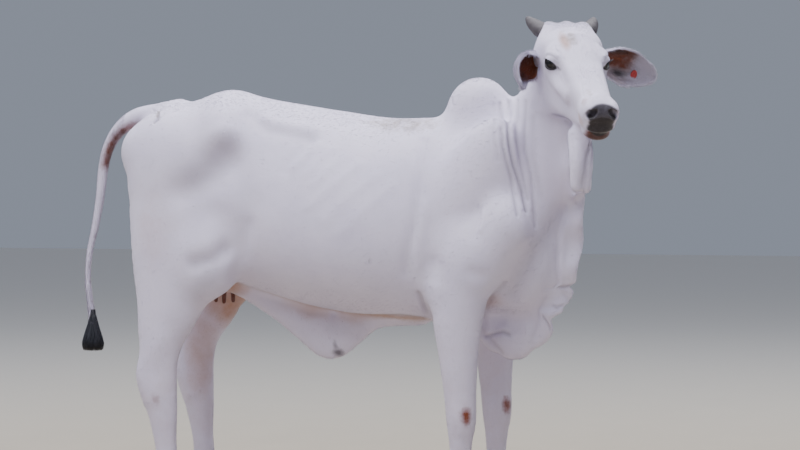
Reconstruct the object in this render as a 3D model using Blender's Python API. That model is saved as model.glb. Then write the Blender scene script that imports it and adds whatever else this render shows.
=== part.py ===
"""A nelore cow at life size, standing square with its head turned to its right.

Metres. +X is forward, +Y its left, +Z up; the claws stand on z = 0. The body is one soft form,
worked out as a smooth field from a few stations and then parted by thin plane cuts.
"""

import math

import bmesh
import bpy
import numpy as np
from mathutils import Matrix, Vector

GAP = 0.0003
CENTRE = (-0.060, 0.079, 0.0)

# Grids on which the form is read, and how many triangles are kept of it
BODY_CELL, BODY_FACES = 0.016, 4600
NECK_CELL, NECK_FACES = 0.010, 1800
HEAD_CELL, HEAD_FACES = 0.0058, 3900

# The trunk's sections along x: top, bottom, half width, height of the widest line, squareness above it
TRUNK_X = (-0.715, -0.63, -0.50, -0.36, -0.20, 0.00, 0.18, 0.33, 0.46, 0.58, 0.68)
TRUNK_TOP = (1.275, 1.350, 1.388, 1.412, 1.386, 1.354, 1.330, 1.330, 1.325, 1.270, 1.170)
TRUNK_BOTTOM = (1.080, 1.020, 0.920, 0.815, 0.765, 0.722, 0.702, 0.698, 0.705, 0.770, 0.880)
TRUNK_WIDTH = (0.105, 0.150, 0.178, 0.192, 0.222, 0.252, 0.252, 0.215, 0.175, 0.150, 0.110)
TRUNK_MIDDLE = (1.180, 1.170, 1.130, 1.080, 1.010, 0.965, 0.955, 0.960, 0.980, 1.010, 1.030)
TRUNK_ROOF = (2.0, 2.0, 1.9, 1.75, 1.75, 1.8, 1.8, 1.8, 1.8, 2.0, 2.0)
TRUNK_BELLY = 2.15
RUMP_ROUND, BREAST_ROUND = 0.10, 0.14

# The head's own axes: a along the face from the poll, l to its left, c out of the forehead
HEAD_LENGTH = 0.468
HEAD_A = (-0.03, 0.02, 0.08, 0.155, 0.22, 0.30, 0.38, 0.44, 0.475)
HEAD_TOP = (-0.020, 0.004, 0.014, 0.010, 0.000, -0.008, -0.013, -0.018, -0.040)
HEAD_BOTTOM = (-0.130, -0.180, -0.215, -0.205, -0.180, -0.145, -0.120, -0.112, -0.090)
HEAD_WIDTH = (0.066, 0.080, 0.086, 0.084, 0.074, 0.061, 0.053, 0.052, 0.042)
HEAD_MIDDLE = (-0.065, -0.065, -0.065, -0.055, -0.055, -0.058, -0.060, -0.062, -0.064)
HEAD_ROOF, HEAD_JAW = 2.5, 1.85
POLL = np.array([0.759, -0.060, 1.604])
HEADING, NOD = math.radians(-57.8), math.radians(31)

EYE = np.array([0.162, 0.0795, -0.042])
EYE_RADIUS = 0.0185
EYE_LOOK = (0.50, 0.84, 0.20)
HORN = ((0.006, 0.050, -0.029, 0.0265), (-0.014, 0.070, -0.027, 0.0262), (-0.036, 0.085, -0.024, 0.0228),
        (-0.056, 0.096, -0.021, 0.0178), (-0.072, 0.102, -0.019, 0.0130), (-0.081, 0.105, -0.018, 0.0080))

# Ears: root, outline along their length, and for each side the way out, the bend, the way it opens and its curl,
# the ways in shares of the head's left, the level way ahead, and down
EAR_ROOT = np.array([0.040, 0.078, -0.088])
EAR_LENGTH, EAR_HALF, EAR_THICK = 0.218, 0.067, 0.005
EAR_S = (0, 0.18, 0.38, 0.60, 0.80, 0.93, 1.0)
EAR_WIDTH = (0.50, 0.90, 1.00, 0.83, 0.55, 0.32, 0.10)
EAR = {
    1: ((0.99, -0.24, 0.22), (0.0, 0.0, 0.03), (0.0, 1.0, 0.1), 1.0),
    -1: ((-1.10, 0.03, 0.14), (0.72, 0.38, 0.30), (0.72, 0.68, 0.0), 1.40),
}
TAG_ROW, TAG_HALF, TAG_DROP = 9, 0.0145, 0.016

# Legs: stations (x, distance from the middle, z, half depth, half width)
FORELEG = ((0.590, 0.150, 0.985, 0.075, 0.055), (0.480, 0.160, 0.860, 0.088, 0.060),
           (0.445, 0.160, 0.740, 0.082, 0.058), (0.455, 0.160, 0.610, 0.064, 0.048),
           (0.460, 0.160, 0.490, 0.052, 0.041), (0.464, 0.160, 0.405, 0.047, 0.043),
           (0.462, 0.160, 0.330, 0.036, 0.033), (0.462, 0.160, 0.240, 0.031, 0.027),
           (0.464, 0.160, 0.165, 0.038, 0.034), (0.488, 0.160, 0.095, 0.036, 0.036),
           (0.500, 0.160, 0.050, 0.037, 0.036))
HINDLEG = ((-0.480, 0.120, 1.080, 0.196, 0.082), (-0.500, 0.140, 0.900, 0.156, 0.070),
           (-0.520, 0.152, 0.760, 0.114, 0.056), (-0.536, 0.158, 0.650, 0.080, 0.046),
           (-0.543, 0.162, 0.560, 0.062, 0.038), (-0.545, 0.162, 0.490, 0.062, 0.038),
           (-0.532, 0.162, 0.400, 0.050, 0.033), (-0.520, 0.162, 0.290, 0.036, 0.028),
           (-0.508, 0.162, 0.175, 0.040, 0.034), (-0.478, 0.162, 0.100, 0.036, 0.036),
           (-0.464, 0.162, 0.050, 0.037, 0.036))
# How far the lower leg stands from that, by side: left 1, right -1
FORE_SHIFT = {1: 0.0, -1: -0.010}
HIND_SHIFT = {1: -0.026, -1: -0.010}
CORONET = 0.055
CLAW_FRONT, CLAW_REAR = 0.056, 0.040
CLAW_WIDTH, CLEFT = 0.0185, 0.0035
DEWCLAW_Z = 0.128

# The tail from the rump down: x, y, z, radius
TAIL = ((-0.560, 0.000, 1.345, 0.050), (-0.630, 0.000, 1.346, 0.036), (-0.705, -0.002, 1.336, 0.030),
        (-0.765, -0.005, 1.298, 0.0235), (-0.803, -0.010, 1.238, 0.0190), (-0.820, -0.015, 1.165, 0.0165),
        (-0.828, -0.020, 1.080, 0.0145), (-0.843, -0.026, 0.985, 0.0120), (-0.860, -0.032, 0.900, 0.0100),
        (-0.865, -0.036, 0.820, 0.0085), (-0.857, -0.038, 0.745, 0.0080), (-0.848, -0.040, 0.690, 0.0080))
TAIL_START = -0.735
SWITCH_TOP, SWITCH_END = 0.705, 0.580
SWITCH_Z = (0.580, 0.605, 0.640, 0.675, 0.713)
SWITCH_HALF = (0.031, 0.036, 0.028, 0.017, 0.0085)
SWITCH_CORE = (0.0085, 0.016, 0.024, 0.026)
LOCKS, LOCK_HALF, LOCK_SEED = 40, 0.0062, 7
GOLDEN_ANGLE = math.pi * (3 - math.sqrt(5))


def unit(v):
    v = np.array(v, float)
    return v / np.linalg.norm(v)


FACE = np.array([math.cos(NOD) * math.cos(HEADING), math.cos(NOD) * math.sin(HEADING), -math.sin(NOD)])
LEFT = np.array([-math.sin(HEADING), math.cos(HEADING), 0.0])
CROWN = np.cross(FACE, LEFT)
HEAD_AXES = np.stack([FACE, LEFT, CROWN], axis=1)
AHEAD = unit((FACE[0], FACE[1], 0.0))


def unit_rows(v):
    return v / np.linalg.norm(v, axis=-1, keepdims=True)


def turn_out(shares):
    """A way given in shares of the head's left, the level way ahead, and down."""
    return shares[0] * LEFT + shares[1] * AHEAD + shares[2] * np.array([0, 0, -1.0])


# Curves and fields

def spline(xs, ys, x):
    """A smooth curve through the stations (xs, ys), read at x."""
    xs, ys = np.array(xs, float), np.array(ys, float)
    slope = np.gradient(ys, xs)
    x = np.clip(x, xs[0], xs[-1])
    i = np.clip(np.searchsorted(xs, x) - 1, 0, len(xs) - 2)
    step = xs[i + 1] - xs[i]
    t = (x - xs[i]) / step
    return ((1 + 2 * t) * (1 - t) ** 2 * ys[i] + t * (1 - t) ** 2 * step * slope[i]
            + t * t * (3 - 2 * t) * ys[i + 1] + t * t * (t - 1) * step * slope[i + 1])


def drawn(stations, cuts):
    """The stations with smooth ones between them, cuts to a span."""
    stations = np.array(stations, float)
    at = np.arange(len(stations))
    fine = np.linspace(0, len(stations) - 1, (len(stations) - 1) * cuts + 1)
    return np.stack([spline(at, column, fine) for column in stations.T], axis=1)


def ramp(x, start, end):
    t = np.clip((x - start) / (end - start), 0, 1)
    return t * t * (3 - 2 * t)


def melt(a, b, reach):
    """Smooth union of two fields, which blend over reach."""
    h = np.clip(0.5 + 0.5 * (b - a) / reach, 0, 1)
    return b + (a - b) * h - reach * h * (1 - h)


class Clay:
    """A soft form as a field over points: negative inside, zero on the skin."""

    def __init__(self, points, depth=None):
        self.points = points
        self.depth = np.ones(len(points)) if depth is None else depth

    def near(self, low, high, reach):
        margin = reach + 0.05
        inside = ((self.points > low - margin) & (self.points < high + margin)).all(axis=1)
        return np.nonzero(inside)[0]

    def add(self, shape, reach):
        distance, low, high = shape
        here = self.near(low, high, reach)
        self.depth[here] = melt(self.depth[here], distance(self.points[here]), reach)

    def carve(self, shape, reach):
        distance, low, high = shape
        here = self.near(low, high, reach)
        self.depth[here] = -melt(-self.depth[here], distance(self.points[here]), reach)


def egg(centre, radii, turn=None):
    """An ellipsoid; the columns of turn are its own axes."""
    centre, radii = np.array(centre, float), np.array(radii, float)

    def distance(p):
        v = p - centre
        if turn is not None:
            v = v @ turn
        near = np.linalg.norm(v / radii, axis=1)
        return near * (near - 1) / (np.linalg.norm(v / radii**2, axis=1) + 1e-9)

    reach = np.full(3, radii.max()) if turn is not None else radii
    return distance, centre - reach, centre + reach


def limb(stations, across=(0, 1, 0), cuts=4):
    """A tube through stations (x, y, z, half depth, half width); the width lies along across."""
    line = drawn(stations, cuts)
    across = unit(across)

    def distance(p):
        best = np.full(len(p), 9.0)
        for start, end in zip(line[:-1], line[1:]):
            along = end[:3] - start[:3]
            v = p - start[:3]
            t = np.clip(v @ along / (along @ along), 0, 1)
            v = v - t[:, None] * along
            deep = start[3] + t * (end[3] - start[3])
            wide = start[4] + t * (end[4] - start[4])
            side = v @ across
            rest = np.sqrt(np.maximum((v * v).sum(axis=1) - side * side, 0))
            near = np.hypot(side / wide, rest / deep)
            best = np.minimum(best, near * (near - 1) / (np.hypot(side / wide**2, rest / deep**2) + 1e-9))
        return best

    reach = line[:, 3:].max()
    return distance, line[:, :3].min(axis=0) - reach, line[:, :3].max(axis=0) + reach


def section(across, up, wide, top, bottom, middle, roof, belly):
    """How far points are outside an upright section: half widths and heights of its own above and below."""
    upper = up > middle
    power = np.where(upper, roof, belly)
    tall = np.where(upper, top - middle, middle - bottom)
    v, w = np.abs(across) / wide + 1e-6, np.abs(up - middle) / tall + 1e-6
    f = (v**power + w**power) ** (1 / power)
    return (f - 1) / (f ** (1 - power) * np.hypot(v ** (power - 1) / wide, w ** (power - 1) / tall))


def turned(forward, left):
    """Axes as columns: forward, left, up."""
    forward = unit(forward)
    up = unit(np.cross(forward, unit(left)))
    return np.stack([forward, np.cross(up, forward), up], axis=1)


# The form of the animal

def trunk():
    def distance(p):
        x = p[:, 0]
        rows = (TRUNK_WIDTH, TRUNK_TOP, TRUNK_BOTTOM, TRUNK_MIDDLE, TRUNK_ROOF)
        wide, top, bottom, middle, roof = (spline(TRUNK_X, row, x) for row in rows)
        d = section(p[:, 1], p[:, 2], wide, top, bottom, middle, roof, TRUNK_BELLY)
        d = -melt(-d, x - TRUNK_X[0], RUMP_ROUND)
        return -melt(-d, TRUNK_X[-1] - x, BREAST_ROUND)

    return distance, np.array([-0.74, -0.30, 0.65]), np.array([0.70, 0.30, 1.45])


def skull():
    def distance(q):
        a = q[:, 0]
        rows = (HEAD_WIDTH, HEAD_TOP, HEAD_BOTTOM, HEAD_MIDDLE)
        wide, top, bottom, middle = (spline(HEAD_A, row, a) for row in rows)
        d = section(q[:, 1], q[:, 2], wide, top, bottom, middle, HEAD_ROOF, HEAD_JAW)
        d = -melt(-d, a - HEAD_A[0], 0.05)
        return -melt(-d, HEAD_LENGTH - a, 0.03)

    return distance, np.array([-0.06, -0.12, -0.24]), np.array([0.49, 0.12, 0.04])


def in_head(p):
    return (p - POLL) @ HEAD_AXES


def from_head(q):
    return np.array(q, float) @ HEAD_AXES.T + POLL


def mirrored(stations, side):
    """Stations with their second number, the distance from the middle, on one side."""
    stations = np.array(stations, float)
    stations[:, 1] *= side
    return stations


def head_form(q):
    """The head on its own, both sides alike, over points in its own axes."""
    clay = Clay(np.stack([q[:, 0], np.abs(q[:, 1]), q[:, 2]], axis=1))
    clay.add(skull(), 0.02)
    # poll, forehead and the roots of the ears
    clay.add(egg((0.000, 0.0, -0.014), (0.030, 0.028, 0.023)), 0.02)
    clay.add(egg((0.000, 0.052, -0.020), (0.034, 0.030, 0.026)), 0.02)
    clay.add(egg((0.110, 0.0, -0.030), (0.110, 0.062, 0.048)), 0.03)
    clay.add(egg((0.050, 0.072, -0.072), (0.046, 0.034, 0.046)), 0.03)
    clay.add(egg((0.050, 0.056, -0.034), (0.045, 0.034, 0.028)), 0.03)
    # cheek muscle and jaw
    clay.add(egg((0.115, 0.050, -0.135), (0.090, 0.028, 0.075)), 0.04)
    clay.add(limb([(0.06, 0.045, -0.185, 0.040, 0.026), (0.15, 0.045, -0.180, 0.036, 0.024),
                   (0.27, 0.034, -0.140, 0.028, 0.020), (0.40, 0.022, -0.105, 0.020, 0.018)]), 0.03)
    # facial crest, and the bony ring of the eye
    clay.add(limb([(0.150, 0.080, -0.070, 0.016, 0.010), (0.220, 0.070, -0.078, 0.016, 0.010),
                   (0.290, 0.058, -0.078, 0.014, 0.008)]), 0.03)
    clay.add(egg((0.152, 0.072, -0.031), (0.044, 0.024, 0.030)), 0.025)
    # hollows before and above the eye
    clay.carve(egg((0.235, 0.090, -0.040), (0.055, 0.020, 0.026)), 0.03)
    # lids over the eyeball
    clay.add(egg(EYE, (EYE_RADIUS + 0.005,) * 3), 0.008)
    # muzzle, nostril wings, lips and chin
    clay.add(egg((0.428, 0.0, -0.056), (0.048, 0.053, 0.046)), 0.03)
    clay.add(egg((0.448, 0.033, -0.041), (0.028, 0.023, 0.028)), 0.02)
    clay.add(egg((0.438, 0.0, -0.090), (0.045, 0.054, 0.025)), 0.015)
    clay.add(egg((0.432, 0.0, -0.117), (0.043, 0.043, 0.022)), 0.012)
    return clay.depth


def face_cuts(depth, q):
    """Nostrils, the slit of the lids and the line of the mouth."""
    clay = Clay(np.stack([q[:, 0], np.abs(q[:, 1]), q[:, 2]], axis=1), depth)
    clay.carve(egg((0.472, 0.036, -0.039), (0.024, 0.0100, 0.0160), turned((0.55, 0.60, -0.35), (0, 0.5, 1))), 0.008)
    slit = EYE + unit(EYE_LOOK) * (EYE_RADIUS + 0.001)
    clay.carve(egg(slit, (0.0215, 0.0132, 0.0125), turned((0.90, -0.50, 0.05), EYE_LOOK)[:, [0, 2, 1]]), 0.003)
    clay.carve(limb([(0.484, 0.0, -0.103, 0.003, 0.003), (0.468, 0.033, -0.103, 0.003, 0.003),
                     (0.430, 0.052, -0.100, 0.003, 0.003), (0.378, 0.054, -0.090, 0.003, 0.003)]), 0.008)
    return clay.depth


def leg(stations, side, shift):
    stations = mirrored(stations, side)
    stations[3:, 0] += shift[side]
    return limb(stations)


def hindquarter(clay, side):
    """Rump, thigh, stifle, hock tendon and the bony corners of the pelvis."""
    clay.add(egg((-0.500, side * 0.080, 1.236), (0.200, 0.100, 0.120)), 0.06)
    clay.add(leg(HINDLEG, side, HIND_SHIFT), 0.05)
    clay.add(egg((-0.370, side * 0.165, 0.880), (0.090, 0.060, 0.110)), 0.07)
    clay.add(limb([(-0.375, side * 0.060, 1.345, 0.045, 0.045), (-0.350, side * 0.115, 1.322, 0.040, 0.040),
                   (-0.335, side * 0.150, 1.284, 0.034, 0.030)]), 0.09)
    clay.add(egg((-0.655, side * 0.090, 1.225), (0.036, 0.034, 0.045)), 0.06)
    clay.add(limb([(-0.535, side * 0.160, 0.640, 0.016, 0.016), (-0.575, side * 0.160, 0.575, 0.018, 0.018),
                   (-0.602, side * 0.160, 0.525, 0.021, 0.021), (-0.575, side * 0.160, 0.450, 0.018, 0.018)]), 0.05)


def forequarter(clay, side):
    """Shoulder blade, point of the shoulder, upper arm, elbow and foreleg."""
    clay.add(egg((0.490, side * 0.125, 1.130), (0.105, 0.065, 0.210), turned((1, 0, -0.45), (0, 1, 0))), 0.06)
    clay.add(egg((0.590, side * 0.150, 1.000), (0.065, 0.055, 0.085)), 0.05)
    clay.add(egg((0.480, side * 0.155, 0.900), (0.110, 0.062, 0.110)), 0.05)
    clay.add(egg((0.385, side * 0.165, 0.800), (0.035, 0.030, 0.050)), 0.05)
    clay.add(leg(FORELEG, side, FORE_SHIFT), 0.04)


def dewlap_swing(p):
    """How far the hanging skin of the throat stands to the side: it follows the turned head, and ripples."""
    x, z = p[:, 0], p[:, 2]
    ripple = 0.012 * ramp(x, 0.66, 0.80) * np.sin((z - 0.2 * x) * 42)
    return -0.80 * (x - 0.665) * ramp(z, 1.02, 1.26) + ripple


def dewlap(p, depth):
    """Skin hanging from the throat to the brisket, and the two-lobed flap under the jaw."""
    swung = p.copy()
    swung[:, 1] -= dewlap_swing(p)
    hang = Clay(swung, depth)
    hang.add(limb([(0.760, 0.0, 1.250, 0.085, 0.018), (0.715, 0.0, 1.100, 0.088, 0.022),
                   (0.706, 0.0, 0.960, 0.086, 0.026), (0.684, 0.0, 0.830, 0.084, 0.026),
                   (0.632, 0.0, 0.722, 0.090, 0.026), (0.560, 0.0, 0.658, 0.078, 0.030),
                   (0.470, 0.0, 0.690, 0.040, 0.034)]), 0.035)
    flap = Clay(p, hang.depth)
    flap.add(limb([(0.853, -0.236, 1.280, 0.040, 0.014), (0.843, -0.176, 1.205, 0.094, 0.016),
                   (0.812, -0.094, 1.190, 0.096, 0.018), (0.772, -0.036, 1.170, 0.090, 0.020)], across=LEFT), 0.030)
    flap.add(limb([(0.846, -0.252, 1.268, 0.030, 0.022), (0.855, -0.274, 1.190, 0.026, 0.024),
                   (0.852, -0.272, 1.119, 0.020, 0.020)]), 0.012)
    flap.add(limb([(0.866, -0.246, 1.255, 0.018, 0.016), (0.880, -0.258, 1.180, 0.016, 0.015),
                   (0.874, -0.252, 1.113, 0.017, 0.016)]), 0.008)
    return flap.depth


def underside(p, depth):
    """The fold of the navel and the udder."""
    clay = Clay(p, depth)
    clay.add(limb([(-0.330, 0.0, 0.790, 0.030, 0.030), (-0.200, 0.0, 0.735, 0.050, 0.024),
                   (-0.100, 0.0, 0.682, 0.068, 0.022), (-0.035, 0.0, 0.636, 0.066, 0.020),
                   (0.030, 0.0, 0.668, 0.058, 0.022), (0.120, 0.0, 0.705, 0.036, 0.024),
                   (0.260, 0.0, 0.715, 0.032, 0.030)]), 0.03)
    clay.add(egg((-0.420, 0.0, 0.845), (0.090, 0.075, 0.072)), 0.05)
    return clay.depth


def body_form(p):
    """The whole animal but for its tail, ears, horns, claws and teats."""
    clay = Clay(p)
    clay.add(trunk(), 0.05)
    for side in (-1, 1):
        hindquarter(clay, side)
        forequarter(clay, side)
        clay.carve(egg((-0.215, side * 0.275, 1.235), (0.110, 0.055, 0.065)), 0.07)
    # brisket, neck, hump and the root of the tail
    clay.add(egg((0.600, 0.0, 0.900), (0.120, 0.125, 0.180)), 0.07)
    clay.add(limb([(0.535, 0.000, 1.065, 0.200, 0.130), (0.618, 0.000, 1.185, 0.170, 0.106),
                   (0.686, -0.008, 1.298, 0.140, 0.088), (0.730, -0.028, 1.398, 0.112, 0.078),
                   (0.748, -0.050, 1.490, 0.086, 0.074)]), 0.06)
    clay.add(egg((0.458, 0.0, 1.345), (0.104, 0.066, 0.108)), 0.055)
    clay.add(limb([(*station, station[3]) for station in TAIL[:4]]), 0.025)
    q = in_head(p)
    near = np.nonzero((np.abs(q - [0.22, 0, -0.1]) < [0.36, 0.24, 0.26]).all(axis=1))[0]
    if len(near):
        clay.depth[near] = face_cuts(melt(clay.depth[near], head_form(q[near]), 0.035), q[near])
    return underside(p, dewlap(p, clay.depth))


# Meshes

CORNERS = [(i, j, k) for i in (0, 1) for j in (0, 1) for k in (0, 1)]


def hangs_together(corners):
    """Whether corners of a cell are one group along its edges."""
    left, reached = corners[1:], corners[:1]
    for here in reached:
        near = [corner for corner in left if sum(abs(a - b) for a, b in zip(corner, here)) == 1]
        left = [corner for corner in left if corner not in near]
        reached.extend(near)
    return not left


def plain_patterns():
    """Which patterns of inner corners give a cell one clean piece of skin, with no face crossed twice."""
    plain = np.ones(256, bool)
    for pattern in range(256):
        inner = [corner for n, corner in enumerate(CORNERS) if pattern >> n & 1]
        outer = [corner for corner in CORNERS if corner not in inner]
        plain[pattern] = hangs_together(inner) and hangs_together(outer)
        for axis in range(3):
            for level in (0, 1):
                face = [corner for corner in inner if corner[axis] == level]
                crossed = len(face) == 2 and sum(abs(a - b) for a, b in zip(*face)) == 2
                plain[pattern] &= not crossed
    return plain


def close_narrows(depth, cell):
    """Fills cells in which the skin would touch itself, until there are none."""
    plain = plain_patterns()
    views = [depth[tuple(slice(1, None) if c else slice(0, -1) for c in corner)] for corner in CORNERS]
    for _ in range(20):
        pattern = sum((view < 0).astype(int) << n for n, view in enumerate(views))
        narrow = ~plain[pattern]
        if not narrow.any():
            break
        for view in views:
            view[narrow] = np.minimum(view[narrow], -0.1 * cell)


def skin_of(field, low, high, cell):
    """The field's zero surface inside a box, as quads: one point in each cell that the surface crosses."""
    low, high = np.array(low, float), np.array(high, float)
    axes = [np.arange(low[k], high[k] + cell, cell) for k in range(3)]
    grid = np.stack(np.meshgrid(*axes, indexing="ij"), axis=-1)
    depth = np.empty(grid.shape[:3])
    for i in range(0, len(depth), 24):
        part = grid[i:i + 24].reshape(-1, 3)
        outside = np.maximum(low + cell * 1.5 - part, part - high + cell * 1.5).max(axis=1)
        depth[i:i + 24] = np.maximum(field(part), outside).reshape(depth[i:i + 24].shape)
    close_narrows(depth, cell)
    cells = np.array(depth.shape) - 1
    corners, spots = [], []
    for axis in range(3):
        a = depth[tuple(slice(0, -1) if k == axis else slice(1, -1) for k in range(3))]
        b = depth[tuple(slice(1, None) if k == axis else slice(1, -1) for k in range(3))]
        at = np.argwhere((a < 0) != (b < 0))
        da, db = a[tuple(at.T)], b[tuple(at.T)]
        at = at + [0 if k == axis else 1 for k in range(3)]
        ahead = at + [1 if k == axis else 0 for k in range(3)]
        start, end = grid[tuple(at.T)], grid[tuple(ahead.T)]
        spot = start + (end - start) * (da / (da - db))[:, None]
        u, v = (axis + 1) % 3, (axis + 2) % 3
        ring = []
        for du, dv in ((-1, -1), (0, -1), (0, 0), (-1, 0)):
            owner = at.copy()
            owner[:, u] += du
            owner[:, v] += dv
            ring.append(np.ravel_multi_index(tuple(owner.T), cells))
        ring = np.stack(ring, axis=1)
        ring[da > 0] = ring[da > 0][:, ::-1]
        corners.append(ring)
        spots.append(np.repeat(spot, 4, axis=0))
    corners, spots = np.concatenate(corners), np.concatenate(spots)
    used, index = np.unique(corners.ravel(), return_inverse=True)
    count = np.bincount(index)
    points = np.stack([np.bincount(index, spots[:, k]) / count for k in range(3)], axis=1)
    return points, index.reshape(-1, 4)


def settled(field, points, limit, step=0.0008):
    """Points moved along the field's slope onto its surface, by at most the limit."""
    depth = field(points)
    slope = np.stack([field(points + axis) - depth for axis in np.eye(3) * step], axis=1) / step
    move = slope * (depth / np.maximum((slope**2).sum(axis=1), 0.05))[:, None]
    far = np.linalg.norm(move, axis=1) / limit
    return points - move / np.maximum(far, 1)[:, None]


def material(name, colour, roughness):
    finish = bpy.data.materials.new(name)
    finish.use_nodes = True
    shader = finish.node_tree.nodes["Principled BSDF"]
    shader.inputs["Base Color"].default_value = (*colour, 1)
    shader.inputs["Roughness"].default_value = roughness
    shader.inputs["Metallic"].default_value = 0
    return finish


def new_object(name, points, faces, group):
    mesh = bpy.data.meshes.new(name)
    mesh.from_pydata(np.asarray(points).tolist(), [], [list(map(int, face)) for face in faces])
    thing = bpy.data.objects.new(name, mesh)
    group.objects.link(thing)
    return thing


def bake(thing):
    """Puts the object's modifiers into its mesh, cleaned of the tiny edges that a cut leaves."""
    bpy.context.view_layer.update()
    graph = bpy.context.evaluated_depsgraph_get()
    mesh = bpy.data.meshes.new_from_object(thing.evaluated_get(graph))
    thing.modifiers.clear()
    old, thing.data = thing.data, mesh
    bpy.data.meshes.remove(old)
    whole = bmesh.new()
    whole.from_mesh(thing.data)
    bmesh.ops.remove_doubles(whole, verts=whole.verts, dist=0.00002)
    bmesh.ops.dissolve_degenerate(whole, edges=whole.edges, dist=0.00002)
    bmesh.ops.triangulate(whole, faces=whole.faces)
    keep_largest(whole)
    whole.to_mesh(thing.data)
    whole.free()


def keep_largest(whole):
    """Deletes every closed surface but the one round the most volume."""
    left, shells = set(whole.faces), []
    while left:
        shell, waiting = [], [left.pop()]
        while waiting:
            face = waiting.pop()
            shell.append(face)
            near = {other for edge in face.edges for other in edge.link_faces if other in left}
            left -= near
            waiting.extend(near)
        shells.append(shell)
    if len(shells) > 1:
        shells.sort(key=volume_round)
        loose = [face for shell in shells[:-1] for face in shell]
        bmesh.ops.delete(whole, geom=loose, context="FACES")


def volume_round(shell):
    return abs(sum(face.calc_center_median().dot(face.normal) * face.calc_area() for face in shell))


def cut(thing, cutter, operation="DIFFERENCE", solver="EXACT"):
    step = thing.modifiers.new("cut", "BOOLEAN")
    step.operation = operation
    step.solver = solver
    step.object = cutter
    bake(thing)


def block(low, high, frame, grow):
    """A box between two corners of a turned frame, its sides moved out by grow."""
    whole = bmesh.new()
    low, high = Vector(low) - Vector((grow,) * 3), Vector(high) + Vector((grow,) * 3)
    size = high - low
    place = frame @ Matrix.Translation((low + high) / 2) @ Matrix.Diagonal((*size, 1))
    bmesh.ops.create_cube(whole, size=1, matrix=place)
    mesh = bpy.data.meshes.new("block")
    whole.to_mesh(mesh)
    whole.free()
    return as_cutter(bpy.data.objects.new("block", mesh))


def as_cutter(thing):
    thing.hide_render = True
    thing.display_type = "WIRE"
    if thing.name not in CUTTERS.objects:
        CUTTERS.objects.link(thing)
    return thing


def frame_at(place, ahead=(1, 0, 0), left=(0, 1, 0)):
    axes = turned(ahead, left)
    frame = Matrix([[*axes[row], place[row]] for row in range(3)] + [[0, 0, 0, 1]])
    return frame


def take(body, name, low, high, frame=Matrix.Identity(4)):
    """Takes what lies in a box out of the body as an object of its own, with the gap between them."""
    piece = bpy.data.objects.new(name, body.data.copy())
    COW.objects.link(piece)
    cut(piece, block(low, high, frame, -GAP / 2), "INTERSECT")
    cut(body, block(low, high, frame, GAP / 2))
    return piece


def seat(piece, host):
    """Cuts a piece back to the gap from the skin of what carries it."""
    skin = bpy.data.objects.new(host.name + "_skin", host.data.copy())
    as_cutter(skin)
    grow = skin.modifiers.new("grow", "DISPLACE")
    grow.strength = GAP
    grow.mid_level = 0
    cut(piece, skin)


def loft(name, rings, group, closed=True):
    """A closed body through rings of points; its two ends are flat."""
    rings = np.asarray(rings)
    rows, across = rings.shape[:2]
    faces = []
    for row in range(rows - 1):
        for k in range(across):
            here, there = row * across + k, row * across + (k + 1) % across
            faces.append((here, there, there + across, here + across))
    if closed:
        faces.append(tuple(range(across))[::-1])
        faces.append(tuple(range((rows - 1) * across, rows * across)))
    return new_object(name, rings.reshape(-1, 3), faces, group)


def tube(name, stations, cuts, sides_step):
    """A round tube through stations (x, y, z, radius), made from a bevelled curve."""
    line = drawn(stations, cuts)
    curve = bpy.data.curves.new(name, "CURVE")
    curve.dimensions = "3D"
    curve.bevel_depth = 1.0
    curve.bevel_resolution = sides_step
    curve.use_fill_caps = True
    path = curve.splines.new("POLY")
    path.points.add(len(line) - 1)
    path.points.foreach_set("co", np.c_[line[:, :3], np.ones(len(line))].ravel())
    path.points.foreach_set("radius", line[:, 3])
    rope = bpy.data.objects.new(name + "_curve", curve)
    COW.objects.link(rope)
    bpy.context.view_layer.update()
    mesh = bpy.data.meshes.new_from_object(rope.evaluated_get(bpy.context.evaluated_depsgraph_get()))
    bpy.data.objects.remove(rope)
    whole = bmesh.new()
    whole.from_mesh(mesh)
    bmesh.ops.remove_doubles(whole, verts=whole.verts, dist=0.00005)
    bmesh.ops.recalc_face_normals(whole, faces=whole.faces)
    bmesh.ops.triangulate(whole, faces=whole.faces)
    whole.to_mesh(mesh)
    whole.free()
    mesh.name = name
    thing = bpy.data.objects.new(name, mesh)
    COW.objects.link(thing)
    return thing


def finish(thing, look, angle=40):
    thing.data.materials.clear()
    thing.data.materials.append(look)
    thing.data.shade_smooth()
    thing.data.set_sharp_from_angle(angle=math.radians(angle))


# The pieces

def soft_form(name, low, high, cell, count):
    """The body's surface inside a box, thinned to about count triangles."""
    points, faces = skin_of(body_form, low, high, cell)
    thing = new_object(name, settled(body_form, points, 0.3 * cell), faces, COW)
    fewer = thing.modifiers.new("fewer", "DECIMATE")
    fewer.ratio = count / (2 * len(faces))
    bake(thing)
    return thing


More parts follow.
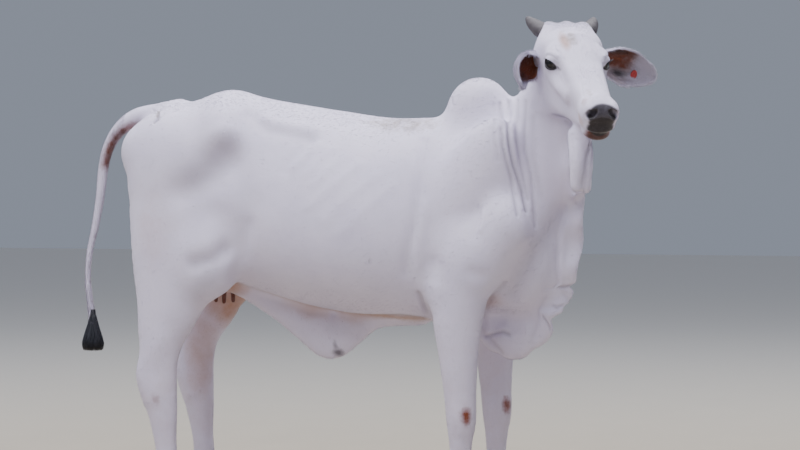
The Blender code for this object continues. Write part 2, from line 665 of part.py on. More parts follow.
def body_pieces():
    """The body parted by plane cuts, from its own coarse surface."""
    body = soft_form("torso", (-0.80, -0.34, -0.03), (0.98, 0.34, 1.70), BODY_CELL, BODY_FACES)
    pieces = {"torso": body}

    def part(name, low, high, frame=Matrix.Identity(4)):
        pieces[name] = take(body, name, low, high, frame)

    front = soft_form("front", (0.46, -0.38, 0.52), (1.00, 0.26, 1.60), NECK_CELL, NECK_FACES)
    cut(front, block((0, -0.4, -0.5), (0.7, 0.4, 0.5), HEAD_CUT, GAP / 2))
    dewlap_box = (0, -0.45, -0.80), (0.50, 0.3, 0.06), frame_at((0.735, 0, 1.285), (1, 0, -0.11))
    neck_box = (0, -0.45, -0.40), (0.60, 0.4, 0.60), frame_at((0.535, 0, 1.345), (0.925, 0, 0.38))
    hump_box = (0.20, -0.2, 1.345), (0.62, 0.2, 1.60), Matrix.Identity(4)
    pieces["dewlap"] = take(front, "dewlap", *dewlap_box)
    cut(front, block(*hump_box, GAP / 2))
    pieces["neck"] = take(front, "neck", *neck_box)
    bpy.data.objects.remove(front)
    part("hump", *hump_box)
    cut(body, block(*dewlap_box, GAP / 2))
    cut(body, block(*neck_box, GAP / 2))
    cut(body, block((-1.0, -0.2, 0.9), (TAIL_START, 0.2, 1.5), Matrix.Identity(4), GAP / 2))
    for side, word in ((1, "left"), (-1, "right")):
        inner, outer = sorted((side * 0.062, side * 0.40))
        part(f"foreleg_{word}_lower", (0.30, inner, CORONET), (0.70, outer, 0.352))
        part(f"foreleg_{word}_upper", (0.30, inner, 0.352), (0.70, outer, 0.690))
        inner, outer = sorted((side * 0.078, side * 0.40))
        part(f"hindleg_{word}_lower", (-0.85, inner, CORONET), (-0.25, outer, 0.452))
        part(f"hindleg_{word}_upper", (-0.85, inner, 0.452), (-0.25, outer, 0.800))
    part("navel_fold", (-0.32, -0.12, 0.50), (0.22, 0.12, 0.698))
    part("udder", (-0.56, -0.074, 0.70), (-0.335, 0.074, 0.806))
    return pieces


def head_piece():
    """The head from its own fine surface, with sockets for the eyes."""
    head = soft_form("head", (0.62, -0.50, 1.14), (1.06, 0.13, 1.68), HEAD_CELL, HEAD_FACES)
    cut(head, block((0, -0.4, -0.5), (0.7, 0.4, 0.5), HEAD_CUT, -GAP / 2), "INTERSECT")
    for side in (-1, 1):
        cut(head, as_cutter(eyeball("socket", side, EYE_RADIUS + GAP, CUTTERS)))
    return head


def eyeball(name, side, radius, group):
    whole = bmesh.new()
    place = Matrix.Translation(from_head(EYE * (1, side, 1)))
    bmesh.ops.create_uvsphere(whole, u_segments=16, v_segments=10, radius=radius, matrix=place)
    bmesh.ops.triangulate(whole, faces=whole.faces)
    mesh = bpy.data.meshes.new(name)
    whole.to_mesh(mesh)
    whole.free()
    ball = bpy.data.objects.new(name, mesh)
    group.objects.link(ball)
    return ball


def leaf_faces(rows, columns):
    """Triangles of two grids of points, back to back, joined along their rims."""
    back = rows * columns
    faces = []
    for row in range(rows - 1):
        for column in range(columns - 1):
            a = row * columns + column
            b, c, d = a + 1, a + columns + 1, a + columns
            faces += [(a, b, c), (a, c, d), (back + a, back + c, back + b), (back + a, back + d, back + c)]
    rim = [*range(columns), *range(2 * columns - 1, back, columns),
           *range(back - 2, back - columns - 1, -1), *range(back - 2 * columns, 0, -columns)]
    for a, b in zip(rim, rim[1:] + rim[:1]):
        faces += [(a, back + a, back + b), (a, back + b, b)]
    return faces


def ear(name, side):
    """A cupped leaf: arcs of a falling angle along a bent line, the same on both faces."""
    rows, columns = 14, 11
    away, bend, open_to, curl = EAR[side]
    s = np.linspace(0, 1, rows)[:, None, None]
    t = np.linspace(-1, 1, columns)[None, :, None]
    middle = from_head(EAR_ROOT * (1, side, 1)) + EAR_LENGTH * (s * turn_out(away) + s * s * turn_out(bend))
    along = unit_rows(turn_out(away) + 2 * s * turn_out(bend))
    across = unit_rows(np.cross(turn_out(open_to), along))
    facing = np.cross(along, across)
    reach = EAR_HALF * spline(EAR_S, EAR_WIDTH, s)
    angle = curl * spline((0, 0.25, 0.6, 1.0), (2.1, 1.55, 1.0, 0.6), s)
    radius = reach / angle * 1.12
    swing = t * angle
    inner = middle + across * radius * np.sin(swing) + facing * radius * (1 - np.cos(swing))
    outer = inner + EAR_THICK * (across * np.sin(swing) - facing * np.cos(swing))
    points = np.concatenate([inner.reshape(-1, 3), outer.reshape(-1, 3)])
    leaf = new_object(name, points, leaf_faces(rows, columns), COW)
    whole = bmesh.new()
    whole.from_mesh(leaf.data)
    bmesh.ops.recalc_face_normals(whole, faces=whole.faces)
    whole.to_mesh(leaf.data)
    whole.free()
    return leaf, middle[TAG_ROW, 0], facing[TAG_ROW, 0]


def tag(place, facing):
    """A round button with a domed middle, lying on the cup of the ear."""
    whole = bmesh.new()
    frame = frame_at(place, facing, (facing[1], -facing[0], 0.3)) @ Matrix.Rotation(math.pi / 2, 4, "Y")
    bmesh.ops.create_cone(whole, cap_ends=True, segments=20, radius1=TAG_HALF,
                          radius2=TAG_HALF * 0.8, depth=0.004, matrix=frame)
    mesh = bpy.data.meshes.new("ear_tag")
    bmesh.ops.triangulate(whole, faces=whole.faces)
    whole.to_mesh(mesh)
    whole.free()
    button = bpy.data.objects.new("ear_tag", mesh)
    COW.objects.link(button)
    return button


def claw(name, x, y, side):
    """Half a hoof: rings from the flat sole up to the coronet, flatter towards the cleft."""
    turn = np.linspace(0, 2 * math.pi, 16, endpoint=False)
    rings = []
    for level, scale, shift in ((0.0, 1.0, 0.010), (0.012, 0.97, 0.008), (0.034, 0.86, 0.003), (0.0547, 0.74, -0.003)):
        along = np.where(np.cos(turn) > 0, CLAW_FRONT, CLAW_REAR) * np.cos(turn) * scale
        bulge = np.where(np.sin(turn) * side > 0, 1.0, 0.82)
        across = CLAW_WIDTH * np.sin(turn) * bulge * (0.6 + 0.4 * scale)
        rings.append(np.stack([x + along + shift, y + across, np.full(16, level)], axis=1))
    return loft(name, rings, COW)


def dewclaw(name, x, y, z):
    """A short blunt cone that points down and back behind the fetlock."""
    stations = ((x + 0.016, y, z + 0.020, 0.0115), (x + 0.002, y, z + 0.004, 0.0115),
                (x - 0.006, y, z - 0.008, 0.0090), (x - 0.009, y, z - 0.014, 0.0045))
    return tube(name, stations, 1, 1)


def feet(pieces, looks):
    """Two claws under each leg and two dewclaws behind its fetlock."""
    for limb_name, stations, shift in (("foreleg", FORELEG, FORE_SHIFT), ("hindleg", HINDLEG, HIND_SHIFT)):
        for side, word in ((1, "left"), (-1, "right")):
            x, fetlock = stations[-1][0] + shift[side], stations[-3][0] + shift[side]
            y = side * stations[-1][1]
            host = pieces[f"{limb_name}_{word}_lower"]
            for part, way in (("inner", -side), ("outer", side)):
                off = way * (CLAW_WIDTH * 0.82 + CLEFT)
                finish(claw(f"claw_{limb_name}_{word}_{part}", x - 0.006, y + off, way), looks["claw"])
                spur = dewclaw(f"dewclaw_{limb_name}_{word}_{part}", fetlock - 0.036, y + way * 0.019, DEWCLAW_Z)
                seat(spur, host)
                finish(spur, looks["claw"])


def tail_pieces():
    """The tail in three lengths, and its switch."""
    tail = tube("tail_root", TAIL[2:], 3, 3)
    cut(tail, block((TAIL_START, -0.2, 1.0), (0, 0.2, 1.6), Matrix.Identity(4), GAP / 2))
    line = drawn(TAIL, 6)
    pieces = {"tail_root": tail}
    for name, level in (("tail_middle", 1.180), ("tail_end", 0.930)):
        at = int(np.argmin(np.abs(line[:, 2] - level)))
        frame = frame_at(line[at, :3], line[at + 1, :3] - line[at - 1, :3])
        pieces[name] = take(tail, name, (0, -0.2, -0.2), (0.8, 0.2, 0.2), frame)
        tail = pieces[name]
    cut(tail, block((-1.1, -0.3, 0.2), (-0.6, 0.3, SWITCH_TOP), Matrix.Identity(4), 0))
    pieces["tail_switch"] = switch()
    return pieces


def lock(rng, share, turn):
    """A flat tapered lock of hair: it leaves the core of the switch at one height and bends down to a point."""
    x, y = TAIL[-1][:2]
    top = SWITCH_TOP - 0.012 - 0.040 * rng.random()
    z = np.linspace(top, SWITCH_END + 0.016 * rng.random() ** 2, 6)
    away = share * spline(SWITCH_Z, SWITCH_HALF, z) * rng.uniform(0.94, 1.04)
    away[0] *= 0.6
    around = turn + rng.uniform(-3, 3) * (top - z)
    out = np.stack([np.cos(around), np.sin(around), 0 * z], axis=1)
    side = np.stack([-np.sin(around), np.cos(around), 0 * z], axis=1)
    middle = np.array([x + 0.003, y, 0]) + away[:, None] * out + np.stack([0 * z, 0 * z, z], axis=1)
    half = LOCK_HALF * rng.uniform(0.8, 1.2) * np.array([0.7, 1.0, 1.15, 1.1, 0.8, 0.12])[:, None]
    rings = np.stack([middle + side * half, middle + out * half * 0.5, middle - side * half, middle - out * half * 0.5],
                     axis=1)
    return loft("lock", rings, LOCKS_GROUP)


def switch():
    """The core of the switch and its locks, joined to one body with a flat top."""
    x, y = TAIL[-1][:2]
    core = tube("tail_switch", [(x + 0.003, y, z, half) for z, half in zip(SWITCH_Z[:0:-1], SWITCH_CORE)], 2, 2)
    rng = np.random.default_rng(LOCK_SEED)
    for k in range(LOCKS):
        lock(rng, math.sqrt((k + 0.5) / LOCKS), k * GOLDEN_ANGLE)
    union = core.modifiers.new("locks", "BOOLEAN")
    union.operation = "UNION"
    union.solver = "MANIFOLD"
    union.operand_type = "COLLECTION"
    union.collection = LOCKS_GROUP
    bake(core)
    for piece in list(LOCKS_GROUP.objects):
        bpy.data.objects.remove(piece)
    cut(core, block((-1.1, -0.3, SWITCH_TOP - GAP), (-0.6, 0.3, 1.0), Matrix.Identity(4), 0))
    return core


def teats(udder):
    """Four short cones under the udder, grown into it."""
    for x in (-0.445, -0.385):
        for y in (-0.034, 0.034):
            teat = tube("teat", ((x, y, 0.800, 0.013), (x, y, 0.785, 0.011), (x, y, 0.755, 0.009),
                                 (x, y, 0.742, 0.0055)), 1, 2)
            cut(udder, teat, "UNION")
            bpy.data.objects.remove(teat)


for old in list(bpy.data.objects):
    bpy.data.objects.remove(old)
COW = bpy.data.collections.new("nelore_cow")
CUTTERS = bpy.data.collections.new("cutters")
LOCKS_GROUP = bpy.data.collections.new("locks")
for group in (COW, CUTTERS, LOCKS_GROUP):
    bpy.context.scene.collection.children.link(group)
HEAD_CUT = frame_at(from_head((0.10, 0.0, -0.222)), from_head((0.12, 0, 0.99)) - POLL, LEFT)


def build():
    looks = {
        "coat": material("coat", (0.76, 0.74, 0.73), 0.75),
        "claw": material("claw", (0.10, 0.085, 0.075), 0.45),
        "horn": material("horn", (0.30, 0.26, 0.23), 0.55),
        "eye": material("eye", (0.015, 0.011, 0.009), 0.10),
        "hair": material("switch_hair", (0.020, 0.021, 0.028), 0.60),
        "tag": material("tag", (0.62, 0.03, 0.04), 0.40),
    }
    pieces = body_pieces()
    pieces["head"] = head_piece()
    pieces.update(tail_pieces())
    teats(pieces["udder"])
    for side, word in ((1, "left"), (-1, "right")):
        leaf, spot, facing = ear(f"ear_{word}", side)
        if side > 0:
            button = tag(spot + facing * 0.0024 + np.array([0, 0, -TAG_DROP]), facing)
            seat(button, leaf)
            finish(button, looks["tag"])
        seat(leaf, pieces["head"])
        pieces[leaf.name] = leaf
        horn = tube(f"horn_{word}", [(*from_head((a, side * l, c)), r) for a, l, c, r in HORN], 2, 3)
        seat(horn, pieces["head"])
        finish(horn, looks["horn"])
        finish(eyeball(f"eye_{word}", side, EYE_RADIUS, COW), looks["eye"])
    for name, piece in pieces.items():
        finish(piece, looks["hair" if name == "tail_switch" else "coat"])
    feet(pieces, looks)
    stand = bpy.data.objects.new("nelore_origin", None)
    stand.location = CENTRE
    COW.objects.link(stand)
    for piece in COW.objects:
        if piece.type == "MESH":
            piece.parent = stand


build()
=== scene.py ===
import math

import bpy
import numpy as np
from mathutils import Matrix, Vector


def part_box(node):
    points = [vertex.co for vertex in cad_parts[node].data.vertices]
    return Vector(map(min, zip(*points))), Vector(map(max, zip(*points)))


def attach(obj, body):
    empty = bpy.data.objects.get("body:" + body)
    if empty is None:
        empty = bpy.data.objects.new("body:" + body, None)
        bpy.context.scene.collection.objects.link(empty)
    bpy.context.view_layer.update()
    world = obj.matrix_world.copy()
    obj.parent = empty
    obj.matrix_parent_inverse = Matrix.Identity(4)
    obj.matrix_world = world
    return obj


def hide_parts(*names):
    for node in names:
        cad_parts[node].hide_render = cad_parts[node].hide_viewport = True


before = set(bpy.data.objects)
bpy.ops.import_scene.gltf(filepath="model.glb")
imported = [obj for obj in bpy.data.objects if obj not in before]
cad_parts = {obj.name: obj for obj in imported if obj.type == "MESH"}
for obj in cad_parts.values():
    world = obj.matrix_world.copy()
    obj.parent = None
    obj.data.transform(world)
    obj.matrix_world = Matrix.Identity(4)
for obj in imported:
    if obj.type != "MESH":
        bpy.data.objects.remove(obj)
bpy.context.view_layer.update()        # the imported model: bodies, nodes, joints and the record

print("frame loaded:", len(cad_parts), "nodes")
bothSides = ((1, "Left"), (-1, "Right"))


# small maths, all on whole arrays

def unit(v):  # the vector over its length
    v = np.asarray(v, float)
    return v / np.maximum(np.linalg.norm(v, axis=-1, keepdims=True), 1e-12)


def spline(xs, ys, x):  # cubic between stations, slopes taken from the neighbours, held flat past the ends
    xs, ys = np.array(xs, float), np.array(ys, float)
    slope = np.gradient(ys, xs)
    x = np.clip(x, xs[0], xs[-1])
    i = np.clip(np.searchsorted(xs, x) - 1, 0, len(xs) - 2)
    step = xs[i + 1] - xs[i]
    t = (x - xs[i]) / step
    return ((1 + 2 * t) * (1 - t) ** 2 * ys[i] + t * (1 - t) ** 2 * step * slope[i]
            + t * t * (3 - 2 * t) * ys[i + 1] + t * t * (t - 1) * step * slope[i + 1])


def threaded(stations, places):  # the same spline through each column, read at places counted in stations
    at = np.arange(len(stations))
    return np.stack([spline(at, column, places) for column in stations.T], axis=1)


def drawn(stations, cuts):  # stations joined by the spline, cuts to a span
    stations = np.array(stations, float)
    return threaded(stations, np.linspace(0, len(stations) - 1, (len(stations) - 1) * cuts + 1))


def ramp(x, start, end):  # 0 before start, 1 after end, smooth between
    t = np.clip((x - start) / (end - start), 0, 1)
    return t * t * (3 - 2 * t)


def bell(x, middle, half):  # 1 at the middle, falls as a gaussian
    return np.exp(-((x - middle) / half) ** 2)


def melt(a, b, reach):  # smooth union of two fields
    h = np.clip(0.5 + 0.5 * (b - a) / reach, 0, 1)
    return b + (a - b) * h - reach * h * (1 - h)


def fullTurn(count):  # angles spread evenly round a circle
    return np.linspace(0, 2 * math.pi, count, endpoint=False)


def oneSide(p, side=1):  # every point laid on one side of the middle plane: y turns to its size times the side
    return np.stack([p[:, 0], side * np.abs(p[:, 1]), p[:, 2]], axis=1)


def turned(forward, left):  # axes as columns: forward, left, up
    forward = unit(forward)
    up = unit(np.cross(forward, unit(left)))
    return np.stack([forward, np.cross(up, forward), up], axis=1)


class Clay:  # a soft form as a field over points: negative inside, zero on the skin
    def __init__(self, points, depth=None):
        self.points = points
        self.depth = np.ones(len(points)) if depth is None else depth

    def near(self, low, high, reach):  # the points that a shape in this box can change
        margin = reach + 0.05
        inside = ((self.points > low - margin) & (self.points < high + margin)).all(axis=1)
        return np.nonzero(inside)[0]

    def add(self, shape, reach, sign=1):
        # smooth union with the shape; with -1 it is taken out of the field instead
        distance, low, high = shape
        here = self.near(low, high, reach)
        self.depth[here] = sign * melt(sign * self.depth[here], distance(self.points[here]), reach)


def egg(centre, radii, turn=None):  # ellipsoid: length of v / radii, less 1, over its own slope
    centre, radii = np.array(centre, float), np.array(radii, float)

    def distance(p):
        v = p - centre
        if turn is not None:
            v = v @ turn
        near = np.linalg.norm(v / radii, axis=1)
        return near * (near - 1) / (np.linalg.norm(v / radii**2, axis=1) + 1e-9)

    reach = np.full(3, radii.max()) if turn is not None else radii
    return distance, centre - reach, centre + reach


def limb(stations, across=(0, 1, 0), cuts=4):
    # tube of elliptic section through (x, y, z, half depth, half width)
    line = drawn(stations, cuts)
    across = unit(across)

    def distance(p):
        best = np.full(len(p), 9.0)
        for start, end in zip(line[:-1], line[1:]):
            along = end[:3] - start[:3]
            v = p - start[:3]
            t = np.clip(v @ along / (along @ along), 0, 1)
            v = v - t[:, None] * along
            deep = start[3] + t * (end[3] - start[3])
            wide = start[4] + t * (end[4] - start[4])
            side = v @ across
            rest = np.sqrt(np.maximum((v * v).sum(axis=1) - side * side, 0))
            near = np.hypot(side / wide, rest / deep)
            best = np.minimum(best, near * (near - 1) / (np.hypot(side / wide**2, rest / deep**2) + 1e-9))
        return best

    reach = line[:, 3:].max()
    return distance, line[:, :3].min(axis=0) - reach, line[:, :3].max(axis=0) + reach


def section(across, up, wide, top, bottom, middle, roof, belly):
    # squarish upright section, its own power above and below: (v^power + w^power)^(1 / power), less 1, over its slope
    upper = up > middle
    power = np.where(upper, roof, belly)
    tall = np.where(upper, top - middle, middle - bottom)
    v, w = np.abs(across) / wide + 1e-6, np.abs(up - middle) / tall + 1e-6
    f = (v**power + w**power) ** (1 / power)
    return (f - 1) / (f ** (1 - power) * np.hypot(v ** (power - 1) / wide, w ** (power - 1) / tall))


# the animal's form, from the same sizes as the solids

trunkForm = {
    "x": (-0.715, -0.63, -0.50, -0.36, -0.20, 0.00, 0.18, 0.33, 0.46, 0.58, 0.68),
    "wide": (0.105, 0.150, 0.178, 0.192, 0.222, 0.252, 0.252, 0.215, 0.175, 0.150, 0.110),
    "top": (1.275, 1.350, 1.388, 1.412, 1.386, 1.354, 1.330, 1.330, 1.325, 1.270, 1.170),
    "bottom": (1.080, 1.020, 0.920, 0.815, 0.765, 0.722, 0.702, 0.698, 0.705, 0.770, 0.880),
    "middle": (1.180, 1.170, 1.130, 1.080, 1.010, 0.965, 0.955, 0.960, 0.980, 1.010, 1.030),
    "roof": (2.0, 2.0, 1.9, 1.75, 1.75, 1.8, 1.8, 1.8, 1.8, 2.0, 2.0),
    "belly": 2.15, "rumpRound": 0.10, "breastRound": 0.14,
}
headForm = {
    "length": 0.468, "poll": (0.759, -0.060, 1.604), "heading": -57.8, "nod": 31,
    "a": (-0.03, 0.02, 0.08, 0.155, 0.22, 0.30, 0.38, 0.44, 0.475),
    "wide": (0.066, 0.080, 0.086, 0.084, 0.074, 0.061, 0.053, 0.052, 0.042),
    "top": (-0.020, 0.004, 0.014, 0.010, 0.000, -0.008, -0.013, -0.018, -0.040),
    "bottom": (-0.130, -0.180, -0.215, -0.205, -0.180, -0.145, -0.120, -0.112, -0.090),
    "middle": (-0.065, -0.065, -0.065, -0.055, -0.055, -0.058, -0.060, -0.062, -0.064),
    "roof": 2.5, "jaw": 1.85,
    "eye": (0.162, 0.0795, -0.042), "eyeRadius": 0.0185, "eyeLook": (0.50, 0.84, 0.20),
}
legForm = {
    "fore": ((0.590, 0.150, 0.985, 0.075, 0.055), (0.480, 0.160, 0.860, 0.088, 0.060),
             (0.445, 0.160, 0.740, 0.082, 0.058), (0.455, 0.160, 0.610, 0.064, 0.048),
             (0.460, 0.160, 0.490, 0.052, 0.041), (0.464, 0.160, 0.405, 0.047, 0.043),
             (0.462, 0.160, 0.330, 0.036, 0.033), (0.462, 0.160, 0.240, 0.031, 0.027),
             (0.464, 0.160, 0.165, 0.038, 0.034), (0.488, 0.160, 0.095, 0.036, 0.036),
             (0.500, 0.160, 0.050, 0.037, 0.036)),
    "hind": ((-0.480, 0.120, 1.080, 0.196, 0.082), (-0.500, 0.140, 0.900, 0.156, 0.070),
             (-0.520, 0.152, 0.760, 0.114, 0.056), (-0.536, 0.158, 0.650, 0.080, 0.046),
             (-0.543, 0.162, 0.560, 0.062, 0.038), (-0.545, 0.162, 0.490, 0.062, 0.038),
             (-0.532, 0.162, 0.400, 0.050, 0.033), (-0.520, 0.162, 0.290, 0.036, 0.028),
             (-0.508, 0.162, 0.175, 0.040, 0.034), (-0.478, 0.162, 0.100, 0.036, 0.036),
             (-0.464, 0.162, 0.050, 0.037, 0.036)),
    "foreShift": {1: 0.0, -1: -0.010}, "hindShift": {1: -0.026, -1: -0.010}, "coronet": 0.055,
}
tailForm = {
    "line": ((-0.560, 0.000, 1.345, 0.050), (-0.630, 0.000, 1.346, 0.036), (-0.705, -0.002, 1.336, 0.030),
             (-0.765, -0.005, 1.298, 0.0235), (-0.803, -0.010, 1.238, 0.0190), (-0.820, -0.015, 1.165, 0.0165),
             (-0.828, -0.020, 1.080, 0.0145), (-0.843, -0.026, 0.985, 0.0120), (-0.860, -0.032, 0.900, 0.0100),
             (-0.865, -0.036, 0.820, 0.0085), (-0.857, -0.038, 0.745, 0.0080), (-0.848, -0.040, 0.690, 0.0080)),
}

poll = np.array(headForm["poll"])
heading, nod = math.radians(headForm["heading"]), math.radians(headForm["nod"])
face = np.array([math.cos(nod) * math.cos(heading), math.cos(nod) * math.sin(heading), -math.sin(nod)])
left = np.array([-math.sin(heading), math.cos(heading), 0.0])
headAxes = np.stack([face, left, np.cross(face, left)], axis=1)
ahead = unit((face[0], face[1], 0.0))
eye = np.array(headForm["eye"])
eyeLook = unit(headForm["eyeLook"])


def inHead(p):  # a along the face from the poll, l to its left, c out of the forehead
    return (p - poll) @ headAxes


def fromHead(q):  # the way back: the head's axes times the place, and the poll
    return np.asarray(q, float) @ headAxes.T + poll


def boxMiddle(node):  # half the sum of the box's two corners
    return sum(np.array(corner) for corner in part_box(node)) / 2


ownEyes = fromHead(eye * np.array([[1, 1, 1], [1, -1, 1]])).mean(axis=0)
standAt = (boxMiddle("eye_left") + boxMiddle("eye_right")) / 2 - ownEyes  # from the form's frame to the model's


def trunk():  # sections between stations along x, cut off roundly at both ends
    def distance(p):
        x = p[:, 0]
        rows = [spline(trunkForm["x"], trunkForm[key], x) for key in ("wide", "top", "bottom", "middle", "roof")]
        d = section(p[:, 1], p[:, 2], *rows, trunkForm["belly"])
        d = -melt(-d, x - trunkForm["x"][0], trunkForm["rumpRound"])
        return -melt(-d, trunkForm["x"][-1] - x, trunkForm["breastRound"])

    return distance, np.array([-0.74, -0.30, 0.65]), np.array([0.70, 0.30, 1.45])


def skull():  # the same along the face
    def distance(q):
        a = q[:, 0]
        rows = [spline(headForm["a"], headForm[key], a) for key in ("wide", "top", "bottom", "middle")]
        d = section(q[:, 1], q[:, 2], *rows, headForm["roof"], headForm["jaw"])
        d = -melt(-d, a - headForm["a"][0], 0.05)
        return -melt(-d, headForm["length"] - a, 0.03)

    return distance, np.array([-0.06, -0.12, -0.24]), np.array([0.49, 0.12, 0.04])


def mirrored(stations, side):  # y times the side
    stations = np.array(stations, float)
    stations[..., 1] *= side
    return stations


def melted(clay, shapes, side=1):  # melts shapes on in turn, and where the reach is below 0 takes them away
    for reach, place, *sizes in shapes:
        place = mirrored(place, side)
        clay.add(egg(place, *sizes) if sizes else limb(place), abs(reach), math.copysign(1, reach))
    return clay.depth


headShapes = (  # eggs as reach, centre and radii, limbs as reach and stations
    (0.02, (0.000, 0.0, -0.014), (0.030, 0.028, 0.023)),          # poll
    (0.02, (0.000, 0.052, -0.020), (0.034, 0.030, 0.026)),
    (0.03, (0.110, 0.0, -0.030), (0.110, 0.062, 0.048)),          # forehead
    (0.03, (0.050, 0.072, -0.072), (0.046, 0.034, 0.046)),        # root of the ear
    (0.03, (0.050, 0.056, -0.034), (0.045, 0.034, 0.028)),        # temple
    (0.04, (0.115, 0.050, -0.135), (0.090, 0.028, 0.075)),        # cheek
    (0.03, ((0.06, 0.045, -0.185, 0.040, 0.026), (0.15, 0.045, -0.180, 0.036, 0.024),
            (0.27, 0.034, -0.140, 0.028, 0.020), (0.40, 0.022, -0.105, 0.020, 0.018))),
    (0.03, ((0.150, 0.080, -0.070, 0.016, 0.010), (0.220, 0.070, -0.078, 0.016, 0.010),
            (0.290, 0.058, -0.078, 0.014, 0.008))),               # crest of the face
    (0.025, (0.152, 0.072, -0.031), (0.044, 0.024, 0.030)),       # brow
    (-0.03, (0.235, 0.090, -0.040), (0.055, 0.020, 0.026)),
    (0.008, eye, (headForm["eyeRadius"] + 0.005,) * 3),           # lids
    (0.03, (0.428, 0.0, -0.056), (0.048, 0.050, 0.046)),          # muzzle
    (0.02, (0.448, 0.031, -0.041), (0.028, 0.021, 0.027)),        # wing of the nostril
    (0.015, (0.438, 0.0, -0.090), (0.045, 0.051, 0.025)),         # upper lip
    (0.012, (0.432, 0.0, -0.117), (0.043, 0.043, 0.022)),         # lower lip and chin
)
faceShapes = (
    (-0.008, (0.472, 0.036, -0.039), (0.024, 0.0100, 0.0160), turned((0.55, 0.60, -0.35), (0, 0.5, 1))),  # nostril
    (-0.003, eye + eyeLook * (headForm["eyeRadius"] + 0.001), (0.0218, 0.0107, 0.0125),
     turned((0.90, -0.50, 0.05), eyeLook)[:, [0, 2, 1]]),         # slit of the eye
    (-0.008, ((0.484, 0.0, -0.103, 0.003, 0.003), (0.468, 0.033, -0.103, 0.003, 0.003),
              (0.430, 0.052, -0.100, 0.003, 0.003), (0.378, 0.054, -0.090, 0.003, 0.003))),  # mouth
)


def headField(q):  # both sides alike: the field of |l|
    clay = Clay(oneSide(q))
    clay.add(skull(), 0.02)
    return melted(clay, headShapes)


def faceCuts(depth, q):  # nostrils, the slits of the eyes and the mouth, taken out of the field
    return melted(Clay(oneSide(q), depth), faceShapes)


def leg(which, side):  # a tube through the leg's stations, the lower ones shifted along x
    stations = mirrored(legForm[which], side)
    stations[3:, 0] += legForm[which + "Shift"][side]
    return limb(stations)


# of the left side; the hind leg comes in after the first hind shape, the fore leg after the last
quarterShapes = {
    "hind": ((0.06, (-0.500, 0.080, 1.236), (0.200, 0.100, 0.120)),
             (0.07, (-0.370, 0.165, 0.880), (0.090, 0.060, 0.110)),
             (0.09, ((-0.375, 0.060, 1.345, 0.045, 0.045), (-0.350, 0.115, 1.322, 0.040, 0.040),
                     (-0.335, 0.150, 1.284, 0.034, 0.030))),      # hip
             (0.06, (-0.655, 0.090, 1.225), (0.036, 0.034, 0.045)),  # pin bone
             (0.05, ((-0.535, 0.160, 0.640, 0.016, 0.016), (-0.575, 0.160, 0.575, 0.018, 0.018),
                     (-0.602, 0.160, 0.525, 0.021, 0.021), (-0.575, 0.160, 0.450, 0.018, 0.018)))),  # hock
    "fore": ((0.06, (0.490, 0.125, 1.130), (0.105, 0.065, 0.210), turned((1, 0, -0.45), (0, 1, 0))),  # shoulder
             (0.05, (0.590, 0.150, 1.000), (0.065, 0.055, 0.085)),
             (0.05, (0.480, 0.155, 0.900), (0.110, 0.062, 0.110)),
             (0.05, (0.385, 0.165, 0.800), (0.035, 0.030, 0.050))),  # elbow
    "flank": ((-0.07, (-0.215, 0.275, 1.235), (0.110, 0.055, 0.065)),),
}


def quarters(clay, side):  # rump and hind leg, shoulder and fore leg, and the hollow of the flank
    melted(clay, quarterShapes["hind"][:1], side)
    clay.add(leg("hind", side), 0.05)
    melted(clay, quarterShapes["hind"][1:] + quarterShapes["fore"], side)
    clay.add(leg("fore", side), 0.04)
    melted(clay, quarterShapes["flank"], side)


def dewlapSwing(p):  # sideways shift of the hanging skin: it follows the turned head, and ripples
    x, z = p[:, 0], p[:, 2]
    ripple = 0.012 * ramp(x, 0.66, 0.80) * np.sin((z - 0.2 * x) * 42)
    return -0.80 * (x - 0.665) * ramp(z, 1.02, 1.26) + ripple


def dewlap(p, depth):  # a hanging blade in swung axes, and the flap under the throat with its two lobes
    swung = p.copy()
    swung[:, 1] -= dewlapSwing(p)
    hang = Clay(swung, depth)
    hang.add(limb([(0.760, 0.0, 1.250, 0.085, 0.018), (0.715, 0.0, 1.100, 0.088, 0.022),
                   (0.706, 0.0, 0.960, 0.086, 0.026), (0.684, 0.0, 0.830, 0.084, 0.026),
                   (0.632, 0.0, 0.722, 0.090, 0.026), (0.560, 0.0, 0.658, 0.078, 0.030),
                   (0.470, 0.0, 0.690, 0.040, 0.034)]), 0.035)
    flap = Clay(p, hang.depth)
    flap.add(limb([(0.853, -0.236, 1.280, 0.040, 0.014), (0.843, -0.176, 1.205, 0.094, 0.016),
                   (0.812, -0.094, 1.190, 0.096, 0.018), (0.772, -0.036, 1.170, 0.090, 0.020)], across=left), 0.030)
    return melted(flap, (
        (0.012, ((0.846, -0.252, 1.268, 0.030, 0.022), (0.855, -0.274, 1.190, 0.026, 0.024),
                 (0.852, -0.272, 1.119, 0.020, 0.020))),
        (0.008, ((0.866, -0.246, 1.255, 0.018, 0.016), (0.880, -0.258, 1.180, 0.016, 0.015),
                 (0.874, -0.252, 1.113, 0.017, 0.016)))))


def underside(p, depth):  # the fold from the thighs to the navel and on to the breast, and the udder
    return melted(Clay(p, depth), (
        (0.03, ((-0.330, 0.0, 0.790, 0.030, 0.030), (-0.200, 0.0, 0.735, 0.050, 0.024),
                (-0.100, 0.0, 0.682, 0.068, 0.022), (-0.035, 0.0, 0.636, 0.066, 0.020),
                (0.030, 0.0, 0.668, 0.058, 0.022), (0.120, 0.0, 0.705, 0.036, 0.024),
                (0.260, 0.0, 0.715, 0.032, 0.030))),
        (0.05, (-0.420, 0.0, 0.845), (0.090, 0.075, 0.072))))


